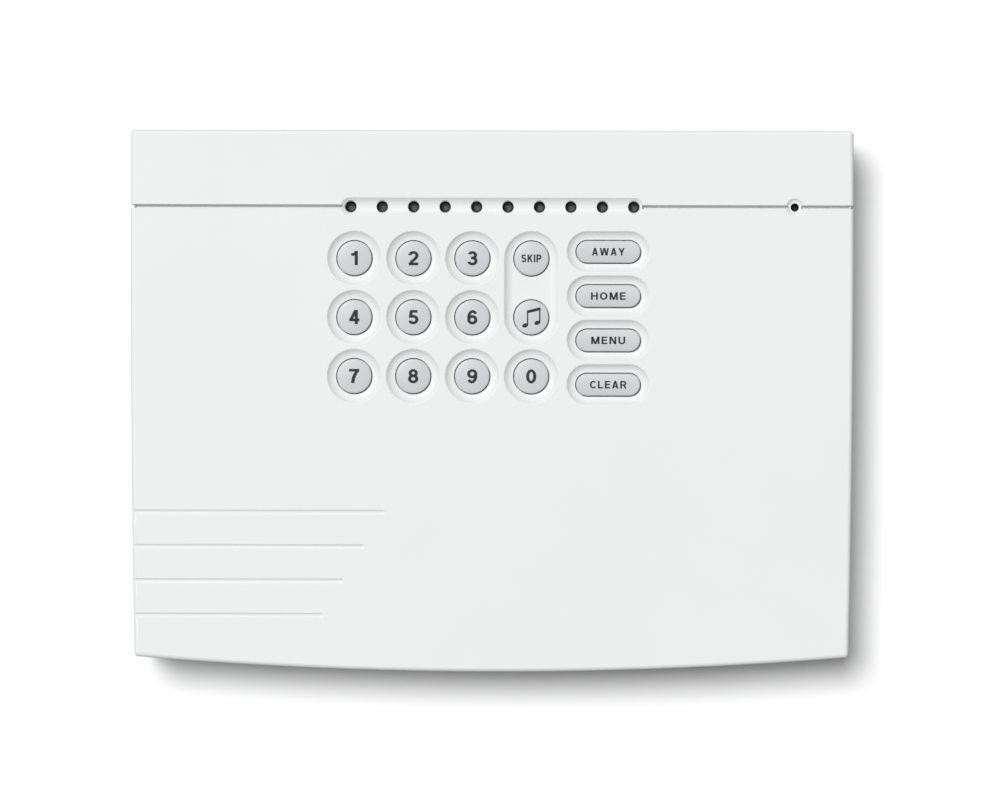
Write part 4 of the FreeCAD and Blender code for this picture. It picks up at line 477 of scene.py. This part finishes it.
def cover_body():
    steps = 8

    def build(bm):
        loops = [case_loop(0.25 * MM, REAR), case_loop(0, REAR - 0.25 * MM)]
        for i in range(steps + 1):
            turn = math.pi / 2 * i / steps
            loops.append(case_loop(RIM * (1 - math.cos(turn)), FACE + RIM * (1 - math.sin(turn))))
        outer = skin(bm, loops, caps=False)
        inside = FACE + FRONT_WALL
        inner = skin(
            bm,
            [
                case_loop(SIDE_WALL - 0.2 * MM, REAR),
                case_loop(SIDE_WALL, REAR - 0.2 * MM),
                case_loop(SIDE_WALL, inside - 0.8 * MM),
                case_loop(SIDE_WALL + 0.25 * MM, inside - 0.25 * MM),
                case_loop(SIDE_WALL + 0.8 * MM, inside),
            ],
            caps=False,
        )
        bm.faces.new(outer[-1])
        bm.faces.new(inner[-1])
        count = len(outer[0])
        for i in range(count):
            j = (i + 1) % count
            bm.faces.new((outer[0][i], outer[0][j], inner[0][j], inner[0][i]))

    return solid("front_cover_moulding", build)


def lip(edge, slope_end, radius, start=12):
    """Points of a softened edge, from just above the face down to where the wall or dish takes over."""
    begin = math.radians(start)
    end = math.radians(slope_end)
    points = []
    steps = 5
    for i in range(steps + 1):
        turn = begin + (end - begin) * i / steps
        points.append((edge - radius * math.sin(turn), radius * (1 - math.cos(turn))))
    rise = points[0][1] + 0.05 * MM
    over = (points[0][0] + rise / math.tan(begin), -0.05 * MM)
    return [(over[0] + 0.1 * MM, -2 * MM), over] + points


def dish_profile(band, depth, radius):
    """Grow and depth pairs for a dished band that is level where it meets the middle."""
    section = (band**2 + depth**2) / (2 * depth)
    centre = depth - section
    edge = math.sqrt((section + radius) ** 2 - (radius - centre) ** 2)
    meet = math.asin(edge / (section + radius))
    profile = lip(edge, math.degrees(meet), radius)
    steps = 10
    for i in range(1, steps + 1):
        turn = meet * (1 - i / steps)
        profile.append((section * math.sin(turn), centre + section * math.cos(turn)))
    return profile


def sunk(name, x, z, half, radius, profile, along="x", ends=32):
    """A cutting solid that follows a profile of grow and depth round a stadium."""
    return solid(
        name,
        lambda bm: skin(
            bm,
            [stadium(x, z, FACE + depth, half, radius + grow, along, ends) for grow, depth in profile],
        ),
    )


def open_trough(profile):
    """The same profile without the points at its very middle, where a trough has no width left."""
    return [(grow, depth) for grow, depth in profile if grow > 0.04 * MM]


def hole_down(profile):
    """The same profile with a straight hole through the front wall after it."""
    grow, depth = profile[-1]
    return profile[:-1] + [(0.05 * MM, depth), (0.0, depth + 0.05 * MM), (0.0, THROUGH)]


def groove_section(depth):
    """Half-open outline of the groove at one place, as distances across it and into the case."""
    half = GROOVE_HALF
    side = lip(half + GROOVE_LIP, 90, GROOVE_LIP)
    floor = [(half, depth - 0.25 * MM), (half - 0.08 * MM, depth - 0.07 * MM), (half - 0.25 * MM, depth)]
    right = side + floor
    return right + [(-u, v) for u, v in reversed(right)]


def groove_ring():
    """The parting groove: across the front, round both rims and back along both sides.

    It is deeper on the front than along the sides, and stays above the floor of the channel and
    the dimple where it would cross them.
    """
    path = [((HALF_WIDTH, PAST), (1, 0)), ((HALF_WIDTH, FACE + RIM), (1, 0))]
    for i in range(1, 9):
        turn = math.pi / 2 * i / 8
        out = (math.cos(turn), -math.sin(turn))
        path.append(((HALF_WIDTH - RIM + RIM * out[0], FACE + RIM + RIM * out[1]), out))
    deep = GROOVE_SIDE_DEPTH + GROOVE_FRONT_EXTRA
    clear = 0.5 * MM
    by_dimple = [(99.9 * MM, deep), (99.8 * MM, clear), (95.6 * MM, clear), (95.5 * MM, deep)]
    by_channel = [(48.45 * MM, deep), (48.35 * MM, clear)]
    loops = []
    for (x, y), (nx, ny) in path:
        section = groove_section(GROOVE_SIDE_DEPTH + GROOVE_FRONT_EXTRA * ny**8)
        loops.append([(x - nx * v, y - ny * v, GROOVE_Z + u) for u, v in section])
    mirrored = [[(-x, y, z) for x, y, z in loop] for loop in reversed(loops)]
    across = by_dimple + by_channel + [(-x, depth) for x, depth in reversed(by_channel)]
    for x, depth in across:
        loops.append([(x, FACE + v, GROOVE_Z + u) for u, v in groove_section(depth)])
    loops += mirrored
    return solid("parting_groove", lambda bm: skin(bm, loops))


def front_cover():
    cover = cover_body()
    hinge_y, hinge_z = middle("hinge_pins").y, middle("hinge_pins").z
    relief = solid(
        "relief",
        lambda bm: box(
            bm,
            (-HALF_WIDTH - 2 * PAST, hinge_y, hinge_z),
            (HALF_WIDTH + 2 * PAST, 2 * PAST, HALF_HEIGHT + 2 * PAST),
        ),
    )
    cover = combine(cover, [relief], "DIFFERENCE")
    inside = FACE + FRONT_WALL - 0.5 * MM
    adds = [
        solid(
            "barrel",
            lambda bm: bar(bm, "x", (hinge_y, hinge_z), BARREL_RADIUS, -BARREL_END, BARREL_END),
        ),
        solid(
            "backing",
            lambda bm: box(
                bm,
                (-BACKING_HALF, inside, GROOVE_Z - BACKING_RISE),
                (BACKING_HALF, FACE + BACKING_REAR, GROOVE_Z + BACKING_RISE),
            ),
        ),
    ]
    retainer_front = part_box("key_retainer")[0].y
    tamper = middle("tamper_switch")
    standing = [("boss", place, BOSS_RADIUS) for place in BOSSES]
    standing.append(("striker", (tamper.x, tamper.z), STRIKER_RADIUS))
    for name, place, radius in standing:
        adds.append(solid(name, lambda bm: bar(bm, "y", place, radius, inside, retainer_front, 32)))
    for sign in (-1, 1):
        x = sign * SCREW_X
        low = -HALF_HEIGHT + BOTTOM_RISE * (SCREW_X / HALF_WIDTH) ** 2 + SIDE_WALL / 2
        adds.append(
            solid(
                "screw_pad",
                lambda bm: box(
                    bm,
                    (x - SCREW_PAD_HALF, -SCREW_PAD_FRONT, low),
                    (x + SCREW_PAD_HALF, REAR, -HALF_HEIGHT + SCREW_PAD_RISE),
                ),
            )
        )
    cover = combine(cover, adds, "UNION")

    cuts = []
    for sign in (-1, 1):
        x = sign * SCREW_X
        for radius, rise in SCREW_BORES:
            top = -HALF_HEIGHT + rise
            cuts.append(solid("bore", lambda bm: bar(bm, "z", (x, -SCREW_SET), radius, BELOW_CASE, top)))
            cuts.append(
                solid(
                    "way",
                    lambda bm: box(bm, (x - radius, -SCREW_SET, BELOW_CASE), (x + radius, PAST, top)),
                )
            )
        near, far = sorted(sign * end for end in LUG_WAY)
        cuts.append(
            solid(
                "lug_way",
                lambda bm: box(
                    bm,
                    (near, hinge_y - LUG_WAY_HALF, hinge_z - LUG_WAY_HALF),
                    (far, PAST, HALF_HEIGHT + PAST),
                ),
            )
        )
        near, far = sorted(sign * end for end in PIN_BORE)
        cuts.append(
            solid("pin_bore", lambda bm: bar(bm, "x", (hinge_y, hinge_z), PIN_BORE_RADIUS, near, far))
        )
    pilot_span = (FACE + FRONT_WALL - 1 * MM, retainer_front + 1 * MM)
    for place in BOSSES:
        cuts.append(solid("pilot", lambda bm: bar(bm, "y", place, PILOT_RADIUS, *pilot_span, 24)))
    cover = combine(cover, cuts, "DIFFERENCE")

    well = dish_profile(ROUND_WELL_BAND, WELL_DEPTH, WELL_LIP)
    small_well = dish_profile(LONG_WELL_BAND, WELL_DEPTH, WELL_LIP)
    opening = CAP_RADIUS + CAP_GAP
    wells = []
    for name in ROUND_KEYS:
        if name not in ("key_skip", "key_chime"):
            spot = middle(name)
            wells.append(sunk(name + "_well", spot.x, spot.z, 0, opening, hole_down(well)))
    for name in FUNCTION_KEYS:
        spot = middle(name)
        half = FUNCTION_HALF - FUNCTION_RADIUS
        wells.append(
            sunk(name + "_well", spot.x, spot.z, half, FUNCTION_RADIUS + CAP_GAP, hole_down(small_well))
        )
    upper, lower = middle("key_skip"), middle("key_chime")
    wells.append(
        sunk("pair_well", upper.x, (upper.z + lower.z) / 2, (upper.z - lower.z) / 2, opening, well, "z")
    )
    cover = combine(cover, wells, "DIFFERENCE")

    channel = open_trough(dish_profile(CHANNEL_BAND, CHANNEL_DEPTH, CHANNEL_LIP))
    shallow = open_trough(dish_profile(LINE_BAND, LINE_DEPTH, LINE_LIP))
    lines = []
    for i in range(LINE_COUNT):
        end = LINE_END - LINE_STEP_IN * i
        z = HALF_HEIGHT - (LINE_DROP + LINE_PITCH * i)
        middle_x, half = (LINE_START + end) / 2, (end - LINE_START) / 2
        lines.append(sunk("line", middle_x, z, half, 0.0, shallow, "x", 16))
    cover = combine(cover, lines + [groove_ring()], "DIFFERENCE")
    holes = [sunk("channel", 0, GROOVE_Z, CHANNEL_HALF, 0.0, channel)]
    spot = middle("power_led")
    dimple = dish_profile(DIMPLE_RADIUS - DIMPLE_HOLE, DIMPLE_DEPTH, DIMPLE_LIP)
    dimple = dimple[:-1] + [(0, DIMPLE_DEPTH), (0, THROUGH)]
    holes.append(sunk("dimple", spot.x, GROOVE_Z, 0, DIMPLE_HOLE, dimple))
    floor = WELL_DEPTH
    hole = [(0.07 * MM, floor - 0.3 * MM), (0.05 * MM, floor), (0, floor + 0.05 * MM), (0, THROUGH)]
    for name in ("key_skip", "key_chime"):
        spot = middle(name)
        holes.append(sunk(name + "_hole", spot.x, spot.z, 0, opening, hole))
    cover = combine(cover, holes, "DIFFERENCE")
    flare = [(0.34 * MM, 0.6 * MM), (0.16 * MM, 1.16 * MM), (0.0, 1.42 * MM), (0.0, THROUGH)]
    leds = [
        sunk("led_hole", middle(node).x, GROOVE_Z, 0, LED_HOLE_RADIUS, flare, "x", 20)
        for node in LED_NODES
    ]
    return smoothed(combine(cover, leds, "DIFFERENCE"))


def boss_places():
    """Centres of the retainer's screws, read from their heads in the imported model."""
    found = []
    for vert in NODES["retainer_screws"].data.vertices:
        spot = Vector((vert.co.x, vert.co.z))
        for entry in found:
            if (entry[0] - spot).length < 6 * MM:
                entry[1].append(spot)
                break
        else:
            found.append((spot, [spot]))
    places = []
    for _, spots in found:
        xs, zs = [p.x for p in spots], [p.y for p in spots]
        places.append(((min(xs) + max(xs)) / 2, (min(zs) + max(zs)) / 2))
    return places


BOSSES = boss_places()
dressed(front_cover(), FINISHES["case_white"], "case_white", "cover", "front_cover")


# ---------------------------------------------------------------- keys
def cap_drop(dx, dz, half, radius):
    """How far the crowned top has fallen at a point of a cap."""
    bulge = radius**2 / (0.7 * MM)
    return (dz**2 + (dx**2 if half == 0 else 0)) / (2 * bulge)


def key_body(name, x, z, half, radius, stem_half):
    """A crowned cap with a soft rim, its flange behind the front wall, and its stem."""
    inside = FACE + FRONT_WALL

    def build(bm):
        rim = CAP_RIM
        loops = []
        insets = [radius * share for share in (0.985, 0.8, 0.6, 0.42, 0.28, 0.18)]
        turns = [math.pi / 2 * i / 7 for i in range(8)]
        insets += [rim * (1 - math.sin(turn)) for turn in turns]
        falls = [0.0] * 6 + [rim * (1 - math.cos(turn)) for turn in turns]
        for inset, fall in zip(insets, falls):
            loop = []
            for px, _, pz in stadium(x, z, 0, half, radius - inset, "x", 32):
                drop = cap_drop(px - x, pz - z, half, radius)
                loop.append((px, CAP_TOP + drop + fall, pz))
            loops.append(loop)
        loops.append(stadium(x, z, inside + 0.2 * MM, half, radius, "x", 32))
        skin(bm, loops)
        flange = radius + FLANGE_REACH
        skin(
            bm,
            [
                stadium(x, z, inside, half, flange - FLANGE_EASE, "x", 32),
                stadium(x, z, inside + FLANGE_EASE, half, flange, "x", 32),
                stadium(x, z, inside + FLANGE_THICK - FLANGE_EASE, half, flange, "x", 32),
                stadium(x, z, inside + FLANGE_THICK, half, flange - FLANGE_EASE, "x", 32),
            ],
        )
        stem_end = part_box(name)[1].y
        start = inside + FLANGE_THICK / 2
        box(bm, (x - stem_half, start, z - STEM_HALF), (x + stem_half, stem_end, z + STEM_HALF))

    key = solid(name + "_cap", build)
    soften = key.modifiers.new("edges", "BEVEL")
    soften.width = 0.12 * MM
    soften.segments = 2
    soften.limit_method = "ANGLE"
    soften.angle_limit = math.radians(60)
    return smoothed(baked(key), 40)


# A plain bold lettering, one unit tall. Strokes: "slant" is a straight stroke with level ends, "level" a
# crossbar (height, from, to), "arc" part of an oval (centre, radii, from, to), "bend" a run of points.
LETTERING = {
    "0": [("arc", 0.31, 0.5, 0.215, 0.405, 0, 360)],
    "1": [("slant", 0.36, 0, 0.36, 1), ("bend", (0.06, 0.74), (0.2, 0.755), (0.3, 0.83), (0.34, 0.95))],
    "2": [
        ("arc", 0.31, 0.69, 0.215, 0.215, 175, -35),
        ("bend", (0.49, 0.57), (0.38, 0.42), (0.22, 0.28), (0.13, 0.1)),
        ("level", 0.095, 0.02, 0.6),
    ],
    "3": [
        ("arc", 0.3, 0.712, 0.195, 0.193, 160, -90),
        ("arc", 0.3, 0.312, 0.22, 0.217, 90, -165),
        ("level", 0.522, 0.22, 0.32),
    ],
    "4": [("slant", 0.43, 0, 0.43, 1), ("slant", 0.105, 0.33, 0.41, 1), ("level", 0.3, 0.0, 0.62)],
    "5": [
        ("level", 0.905, 0.12, 0.56),
        ("slant", 0.125, 0.46, 0.185, 0.95),
        ("arc", 0.3, 0.33, 0.225, 0.235, 140, -160),
    ],
    "6": [("arc", 0.31, 0.325, 0.215, 0.23, 0, 360), ("arc", 0.335, 0.48, 0.24, 0.425, 38, 195)],
    "7": [("level", 0.905, 0.03, 0.6), ("bend", (0.5, 0.9), (0.38, 0.66), (0.28, 0.38), (0.23, 0))],
    "8": [("arc", 0.31, 0.715, 0.185, 0.19, 0, 360), ("arc", 0.31, 0.31, 0.215, 0.215, 0, 360)],
    "9": [("arc", 0.31, 0.675, 0.215, 0.23, 0, 360), ("arc", 0.285, 0.52, 0.24, 0.425, 218, 375)],
    "A": [("slant", 0.1, 0, 0.33, 1), ("slant", 0.58, 0, 0.35, 1), ("level", 0.28, 0.16, 0.52)],
    "C": [("arc", 0.37, 0.5, 0.28, 0.41, 42, 318)],
    "E": [
        ("slant", 0.1, 0, 0.1, 1), ("level", 0.905, 0.1, 0.57),
        ("level", 0.52, 0.1, 0.54), ("level", 0.095, 0.1, 0.58),
    ],
    "H": [("slant", 0.1, 0, 0.1, 1), ("slant", 0.6, 0, 0.6, 1), ("level", 0.52, 0.1, 0.6)],
    "I": [("slant", 0.1, 0, 0.1, 1)],
    "K": [("slant", 0.1, 0, 0.1, 1), ("slant", 0.16, 0.36, 0.56, 1), ("slant", 0.57, 0, 0.3, 0.62)],
    "L": [("slant", 0.1, 0, 0.1, 1), ("level", 0.095, 0.1, 0.55)],
    "M": [
        ("slant", 0.1, 0, 0.1, 1), ("slant", 0.74, 0, 0.74, 1),
        ("slant", 0.42, 0, 0.13, 1), ("slant", 0.42, 0, 0.71, 1),
    ],
    "N": [("slant", 0.1, 0, 0.1, 1), ("slant", 0.6, 0, 0.6, 1), ("slant", 0.58, 0, 0.12, 1)],
    "O": [("arc", 0.38, 0.5, 0.29, 0.41, 0, 360)],
    "P": [
        ("slant", 0.1, 0, 0.1, 1), ("level", 0.905, 0.1, 0.37), ("level", 0.44, 0.1, 0.37),
        ("arc", 0.36, 0.672, 0.2, 0.233, 90, -90),
    ],
    "R": [
        ("slant", 0.1, 0, 0.1, 1), ("level", 0.905, 0.1, 0.38), ("level", 0.46, 0.1, 0.38),
        ("arc", 0.37, 0.682, 0.2, 0.223, 90, -90), ("slant", 0.56, 0, 0.42, 0.48),
    ],
    "S": [("arc", 0.33, 0.712, 0.22, 0.197, 25, 270), ("arc", 0.33, 0.308, 0.235, 0.213, 90, -158)],
    "U": [
        ("slant", 0.1, 0.3, 0.1, 1), ("slant", 0.6, 0.3, 0.6, 1),
        ("arc", 0.35, 0.32, 0.25, 0.23, 180, 360),
    ],
    "W": [
        ("slant", 0.24, 0, 0.08, 1), ("slant", 0.28, 0, 0.47, 1),
        ("slant", 0.7, 0, 0.51, 1), ("slant", 0.74, 0, 0.9, 1),
    ],
    "Y": [("slant", 0.32, 0.4, 0.08, 1), ("slant", 0.34, 0.4, 0.58, 1), ("slant", 0.33, 0, 0.33, 0.5)],
}


def strip(points, stroke):
    """Both edges of a stroke that follows a run of points."""
    left, right = [], []
    for i, spot in enumerate(points):
        ahead = (points[min(i + 1, len(points) - 1)] - points[max(i - 1, 0)]).normalized()
        side = Vector((-ahead.y, ahead.x)) * stroke / 2
        left.append(spot + side)
        right.append(spot - side)
    return left, right


def stroke_faces(kind, values, stroke):
    """One stroke of a letter as a list of four-cornered faces."""
    if kind == "slant":
        x0, z0, x1, z1 = values
        lean = stroke / 2 * math.hypot(x1 - x0, z1 - z0) / abs(z1 - z0)
        return [[(x0 - lean, z0), (x0 + lean, z0), (x1 + lean, z1), (x1 - lean, z1)]]
    if kind == "level":
        z, x0, x1 = values
        return [[(x0, z - stroke / 2), (x1, z - stroke / 2), (x1, z + stroke / 2), (x0, z + stroke / 2)]]
    if kind == "arc":
        cx, cz, rx, rz, start, end = values
        count = max(8, int(abs(end - start) / 9))
        turns = [math.radians(start + (end - start) * i / count) for i in range(count + 1)]
        edges = [
            [Vector((cx + (rx + out) * math.cos(t), cz + (rz + out) * math.sin(t))) for t in turns]
            for out in (stroke / 2, -stroke / 2)
        ]
    else:
        edges = strip([Vector(point) for point in values], stroke)
    left, right = edges
    return [[left[i], right[i], right[i + 1], left[i + 1]] for i in range(len(left) - 1)]


def printed(name, word, x, z, height, width, stroke, crown, tracking=0.14):
    """A legend as a thin printed film lying on the crowned cap."""
    bm = bmesh.new()
    at = 0.0
    for letter in word:
        faces = []
        for kind, *values in LETTERING[letter]:
            faces += stroke_faces(kind, values, stroke)
        spread = [point[0] for face in faces for point in face]
        for face in faces:
            bm.faces.new([bm.verts.new((px + at - min(spread), pz, 0)) for px, pz in face])
        at += max(spread) - min(spread) + tracking
    mesh = bpy.data.meshes.new(name)
    bm.to_mesh(mesh)
    bm.free()
    thing = linked(name, mesh)
    lay(thing, x, z, height, width, crown)
    return thing


def lay(thing, x, z, height, width, crown):
    """Fits a flat drawing to a height and width, thickens it and lays it on the cap."""
    bm = bmesh.new()
    bm.from_mesh(thing.data)
    bmesh.ops.remove_doubles(bm, verts=bm.verts, dist=1e-6)
    bmesh.ops.triangulate(bm, faces=bm.faces)
    us, vs = [v.co.x for v in bm.verts], [v.co.y for v in bm.verts]
    left, right, low, high = min(us), max(us), min(vs), max(vs)
    scale = height / (high - low)
    across = width / (right - left) if width else scale
    for vert in bm.verts:
        u = (vert.co.x - (left + right) / 2) * across
        v = (vert.co.y - (low + high) / 2) * scale
        vert.co = Vector((u, 0, v))
    for _ in range(5):
        long_edges = [edge for edge in bm.edges if edge.calc_length() > 0.55 * MM]
        if not long_edges:
            break
        bmesh.ops.subdivide_edges(bm, edges=long_edges, cuts=1)
        bmesh.ops.triangulate(bm, faces=[face for face in bm.faces if len(face.verts) > 3])
    bm.normal_update()
    for vert in bm.verts:
        u, _, v = vert.co
        vert.co = Vector((x + u, CAP_TOP + crown(u, v) - FILM_SUNK, z + v))
    bm.normal_update()
    bmesh.ops.reverse_faces(bm, faces=[face for face in bm.faces if face.normal.y > 0])
    film = bmesh.ops.extrude_face_region(bm, geom=bm.faces[:])
    for item in film["geom"]:
        if isinstance(item, bmesh.types.BMVert):
            item.co.y += FILM_THICK
    bmesh.ops.recalc_face_normals(bm, faces=bm.faces)
    bm.to_mesh(thing.data)
    bm.free()


def chime_mark(name, x, z, crown):
    """A pair of beamed notes, drawn from ovals, two stems and a slanting beam."""

    def build(bm):
        for u, v in ((-2.2, -2.75), (1.65, -1.85)):
            head = [
                Matrix.Rotation(math.radians(22), 2) @ Vector((math.cos(t), 0.68 * math.sin(t)))
                for t in (2 * math.pi * i / 28 for i in range(28))
            ]
            bm.faces.new([bm.verts.new((u + p.x, v + p.y, 0)) for p in head])
            bm.faces.new(
                [
                    bm.verts.new((u + du, v + dv, 0))
                    for du, dv in ((0.55, 0.1), (0.97, 0.1), (0.97, 4.9), (0.55, 4.9))
                ]
            )
        beam = ((-1.65, 1.3), (2.62, 2.4), (2.62, 3.4), (-1.65, 2.3))
        bm.faces.new([bm.verts.new((u, v, 0)) for u, v in beam])

    bm = bmesh.new()
    build(bm)
    mesh = bpy.data.meshes.new(name)
    bm.to_mesh(mesh)
    bm.free()
    thing = linked(name, mesh)
    lay(thing, x, z, NOTE_HEIGHT, NOTE_WIDTH, crown)
    return thing


for key, word in {**ROUND_KEYS, **FUNCTION_KEYS}.items():
    spot = middle(key)
    is_round = key in ROUND_KEYS
    half = 0.0 if is_round else FUNCTION_HALF - FUNCTION_RADIUS
    radius = CAP_RADIUS if is_round else FUNCTION_RADIUS
    cap = key_body(key, spot.x, spot.z, half, radius, STEM_HALF if is_round else LONG_STEM_HALF)
    dressed(cap, FINISHES["key_silver"], "key_silver", key, key)

    def crown(u, v, half=half, radius=radius):
        return cap_drop(u, v, half, radius)

    label = key.replace("key", "legend")
    if key == "key_chime":
        mark = chime_mark(label, spot.x, spot.z, crown)
    elif key == "key_skip":
        mark = printed(label, word, spot.x, spot.z, SKIP_HEIGHT, SKIP_WIDTH, SKIP_STROKE, crown)
    elif is_round:
        width = ONE_WIDTH if word == "1" else DIGIT_WIDTH
        mark = printed(label, word, spot.x, spot.z, DIGIT_HEIGHT, width, DIGIT_STROKE, crown)
    else:
        mark = printed(
            label, word, spot.x, spot.z, WORD_HEIGHT, WORD_WIDTHS[word], WORD_STROKE, crown, WORD_TRACKING
        )
    dressed(mark, FINISHES["legend_ink"], None, key)


# ---------------------------------------------------------------- indicator lenses
LENS_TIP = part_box("led_1")[0].y
LENS_REAR = LENS_TIP + 5.3 * MM


def indicator_lens():
    """One lens on its rim and two leads, standing at the middle of the case's width."""
    turns = [math.pi / 2 * i / 8 for i in range(9)]
    dome = [(1.75 * math.sin(turn), 0.9 * (1 - math.cos(turn))) for turn in turns]
    side = [(1.75, 4.2), (1.9, 4.3), (1.9, 5.2), (1.8, 5.3)]
    rings = [
        stadium(0, GROOVE_Z, LENS_TIP + deep * MM, 0, max(radius, 0.02) * MM, "x", 20)
        for radius, deep in dome + side
    ]
    lens = solid("lens", lambda bm: skin(bm, rings))
    leads = [
        solid(
            "leads",
            lambda bm: box(
                bm,
                (x - 0.25 * MM, LENS_REAR - 0.2 * MM, GROOVE_Z - 0.25 * MM),
                (x + 0.25 * MM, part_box("led_1")[1].y, GROOVE_Z + 0.25 * MM),
            ),
        )
        for x in (-1.27 * MM, 1.27 * MM)
    ]
    return smoothed(combine(lens, leads, "UNION"))


def row_group():
    """Sets copies of a piece at even steps along X, ready as real mesh with its finish."""
    group = bpy.data.node_groups.new("lens_row", "GeometryNodeTree")
    face = group.interface
    face.new_socket("Geometry", in_out="INPUT", socket_type="NodeSocketGeometry")
    face.new_socket("Piece", in_out="INPUT", socket_type="NodeSocketObject")
    face.new_socket("Count", in_out="INPUT", socket_type="NodeSocketInt")
    face.new_socket("First", in_out="INPUT", socket_type="NodeSocketVector")
    face.new_socket("Step", in_out="INPUT", socket_type="NodeSocketVector")
    face.new_socket("Finish", in_out="INPUT", socket_type="NodeSocketMaterial")
    face.new_socket("Geometry", in_out="OUTPUT", socket_type="NodeSocketGeometry")
    given = group.nodes.new("NodeGroupInput")
    row = group.nodes.new("GeometryNodeMeshLine")
    piece = group.nodes.new("GeometryNodeObjectInfo")
    copies = group.nodes.new("GeometryNodeInstanceOnPoints")
    real = group.nodes.new("GeometryNodeRealizeInstances")
    coat = group.nodes.new("GeometryNodeSetMaterial")
    made = group.nodes.new("NodeGroupOutput")
    join = group.links.new
    join(given.outputs["Count"], row.inputs["Count"])
    join(given.outputs["First"], row.inputs["Start Location"])
    join(given.outputs["Step"], row.inputs["Offset"])
    join(given.outputs["Piece"], piece.inputs["Object"])
    join(row.outputs["Mesh"], copies.inputs["Points"])
    join(piece.outputs["Geometry"], copies.inputs["Instance"])
    join(copies.outputs["Instances"], real.inputs["Geometry"])
    join(real.outputs["Geometry"], coat.inputs["Geometry"])
    join(given.outputs["Finish"], coat.inputs["Material"])
    join(coat.outputs["Geometry"], made.inputs["Geometry"])
    return group


def row_of(name, piece, count, first, step, finish):
    """A row of copies of a piece, worked out by the row group and kept as a plain mesh."""
    group = row_group()
    holder = linked(name, bpy.data.meshes.new(name))
    row = holder.modifiers.new("row", "NODES")
    row.node_group = group
    given = {"Piece": piece, "Count": count, "First": first, "Step": step, "Finish": finish}
    for item in group.interface.items_tree:
        if item.in_out == "INPUT" and item.name in given:
            row[item.identifier] = given[item.name]
    finished = baked(holder, name)
    bpy.data.objects.remove(piece)
    return finished


led_first, led_second = middle("led_1").x, middle("led_2").x
indicators = row_of(
    "indicator_row",
    indicator_lens(),
    len(LED_NODES),
    (led_first, 0, 0),
    (led_second - led_first, 0, 0),
    FINISHES["led_lens"],
)
dressed(indicators, FINISHES["led_lens"], "led_lens", "case", *LED_NODES)


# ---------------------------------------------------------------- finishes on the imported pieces
for node in NODES.values():
    for place in node.material_slots:
        if place.material and place.material.name.split(".")[0] in FINISHES:
            place.material = FINISHES[place.material.name.split(".")[0]]


# ---------------------------------------------------------------- stage, light and camera
def stage_finish(name, shade, glow):
    """A pale sheet that shows from its front only and lets the light through."""
    made = bpy.data.materials.new(name)
    made.use_nodes = True
    tree = made.node_tree
    tree.nodes.clear()
    output = tree.nodes.new("ShaderNodeOutputMaterial")
    pale = tree.nodes.new("ShaderNodeBsdfDiffuse")
    pale.inputs["Color"].default_value = (shade, shade, shade, 1)
    soft = tree.nodes.new("ShaderNodeEmission")
    soft.inputs["Strength"].default_value = glow
    both = tree.nodes.new("ShaderNodeAddShader")
    clear = tree.nodes.new("ShaderNodeBsdfTransparent")
    choose = tree.nodes.new("ShaderNodeMixShader")
    ray = tree.nodes.new("ShaderNodeLightPath")
    side = tree.nodes.new("ShaderNodeNewGeometry")
    front = calc(tree, "SUBTRACT", ray.outputs["Is Camera Ray"], side.outputs["Backfacing"], clamp=True)
    tree.links.new(front, choose.inputs["Fac"])
    tree.links.new(pale.outputs[0], both.inputs[0])
    tree.links.new(soft.outputs[0], both.inputs[1])
    tree.links.new(clear.outputs[0], choose.inputs[1])
    tree.links.new(both.outputs[0], choose.inputs[2])
    tree.links.new(choose.outputs[0], output.inputs["Surface"])
    return made


def sheet_of(name, points, finish):
    mesh = bpy.data.meshes.new(name)
    mesh.from_pydata(points, [], [(0, 1, 2, 3)])
    mesh.materials.append(finish)
    thing = linked(name, mesh)
    return thing


wall = sheet_of(
    "pale_wall",
    [(-2, 0.0004, -0.6), (2, 0.0004, -0.6), (2, 0.0004, 2), (-2, 0.0004, 2)],
    stage_finish("pale_wall", 0.42, 0.0),
)
floor = sheet_of(
    "pale_floor",
    [(-3, -3, -0.6), (3, -3, -0.6), (3, 3, -0.6), (-3, 3, -0.6)],
    stage_finish("pale_floor", 0.8, 0.1),
)


def sun(name, aim, strength, spread, only=None, skip=None):
    data = bpy.data.lights.new(name, "SUN")
    data.energy = strength
    data.angle = math.radians(spread)
    lamp = linked(name, data)
    lamp.rotation_mode = "QUATERNION"
    lamp.rotation_quaternion = Vector(aim).to_track_quat("-Z", "Y")
    chosen = only or skip
    if chosen:
        group = bpy.data.collections.new(name + "_link")
        group.objects.link(chosen)
        lamp.light_linking.receiver_collection = group
        if skip:
            group.collection_objects[0].light_linking.link_state = "EXCLUDE"
    return lamp


sun("window_soft", (0.36, 1, -0.40), 2.3, 14, skip=wall)
sun("wall_shade", (0.14, 1, -0.145), 6.5, 14.5, only=wall)
sun("back_fill", (-0.5, -1, -0.5), 1.2, 30, skip=wall)

world = bpy.data.worlds.new("studio")
world.use_nodes = True
world.node_tree.nodes["Background"].inputs["Color"].default_value = (0.98, 0.99, 1.0, 1)
world.node_tree.nodes["Background"].inputs["Strength"].default_value = 0.42
scene.world = world
scene.view_settings.view_transform = "Standard"

camera_data = bpy.data.cameras.new("camera")
camera_data.lens = 200
camera_data.sensor_width = 36
camera = linked("camera", camera_data)
VIEW_WIDTH = 322.9 * MM
camera.location = (2.6 * MM, FACE - VIEW_WIDTH * camera_data.lens / camera_data.sensor_width, 0.3 * MM)
camera.rotation_euler = (math.pi / 2, math.radians(-0.12), 0)
camera_data.clip_start, camera_data.clip_end = 0.05, 20
scene.camera = camera
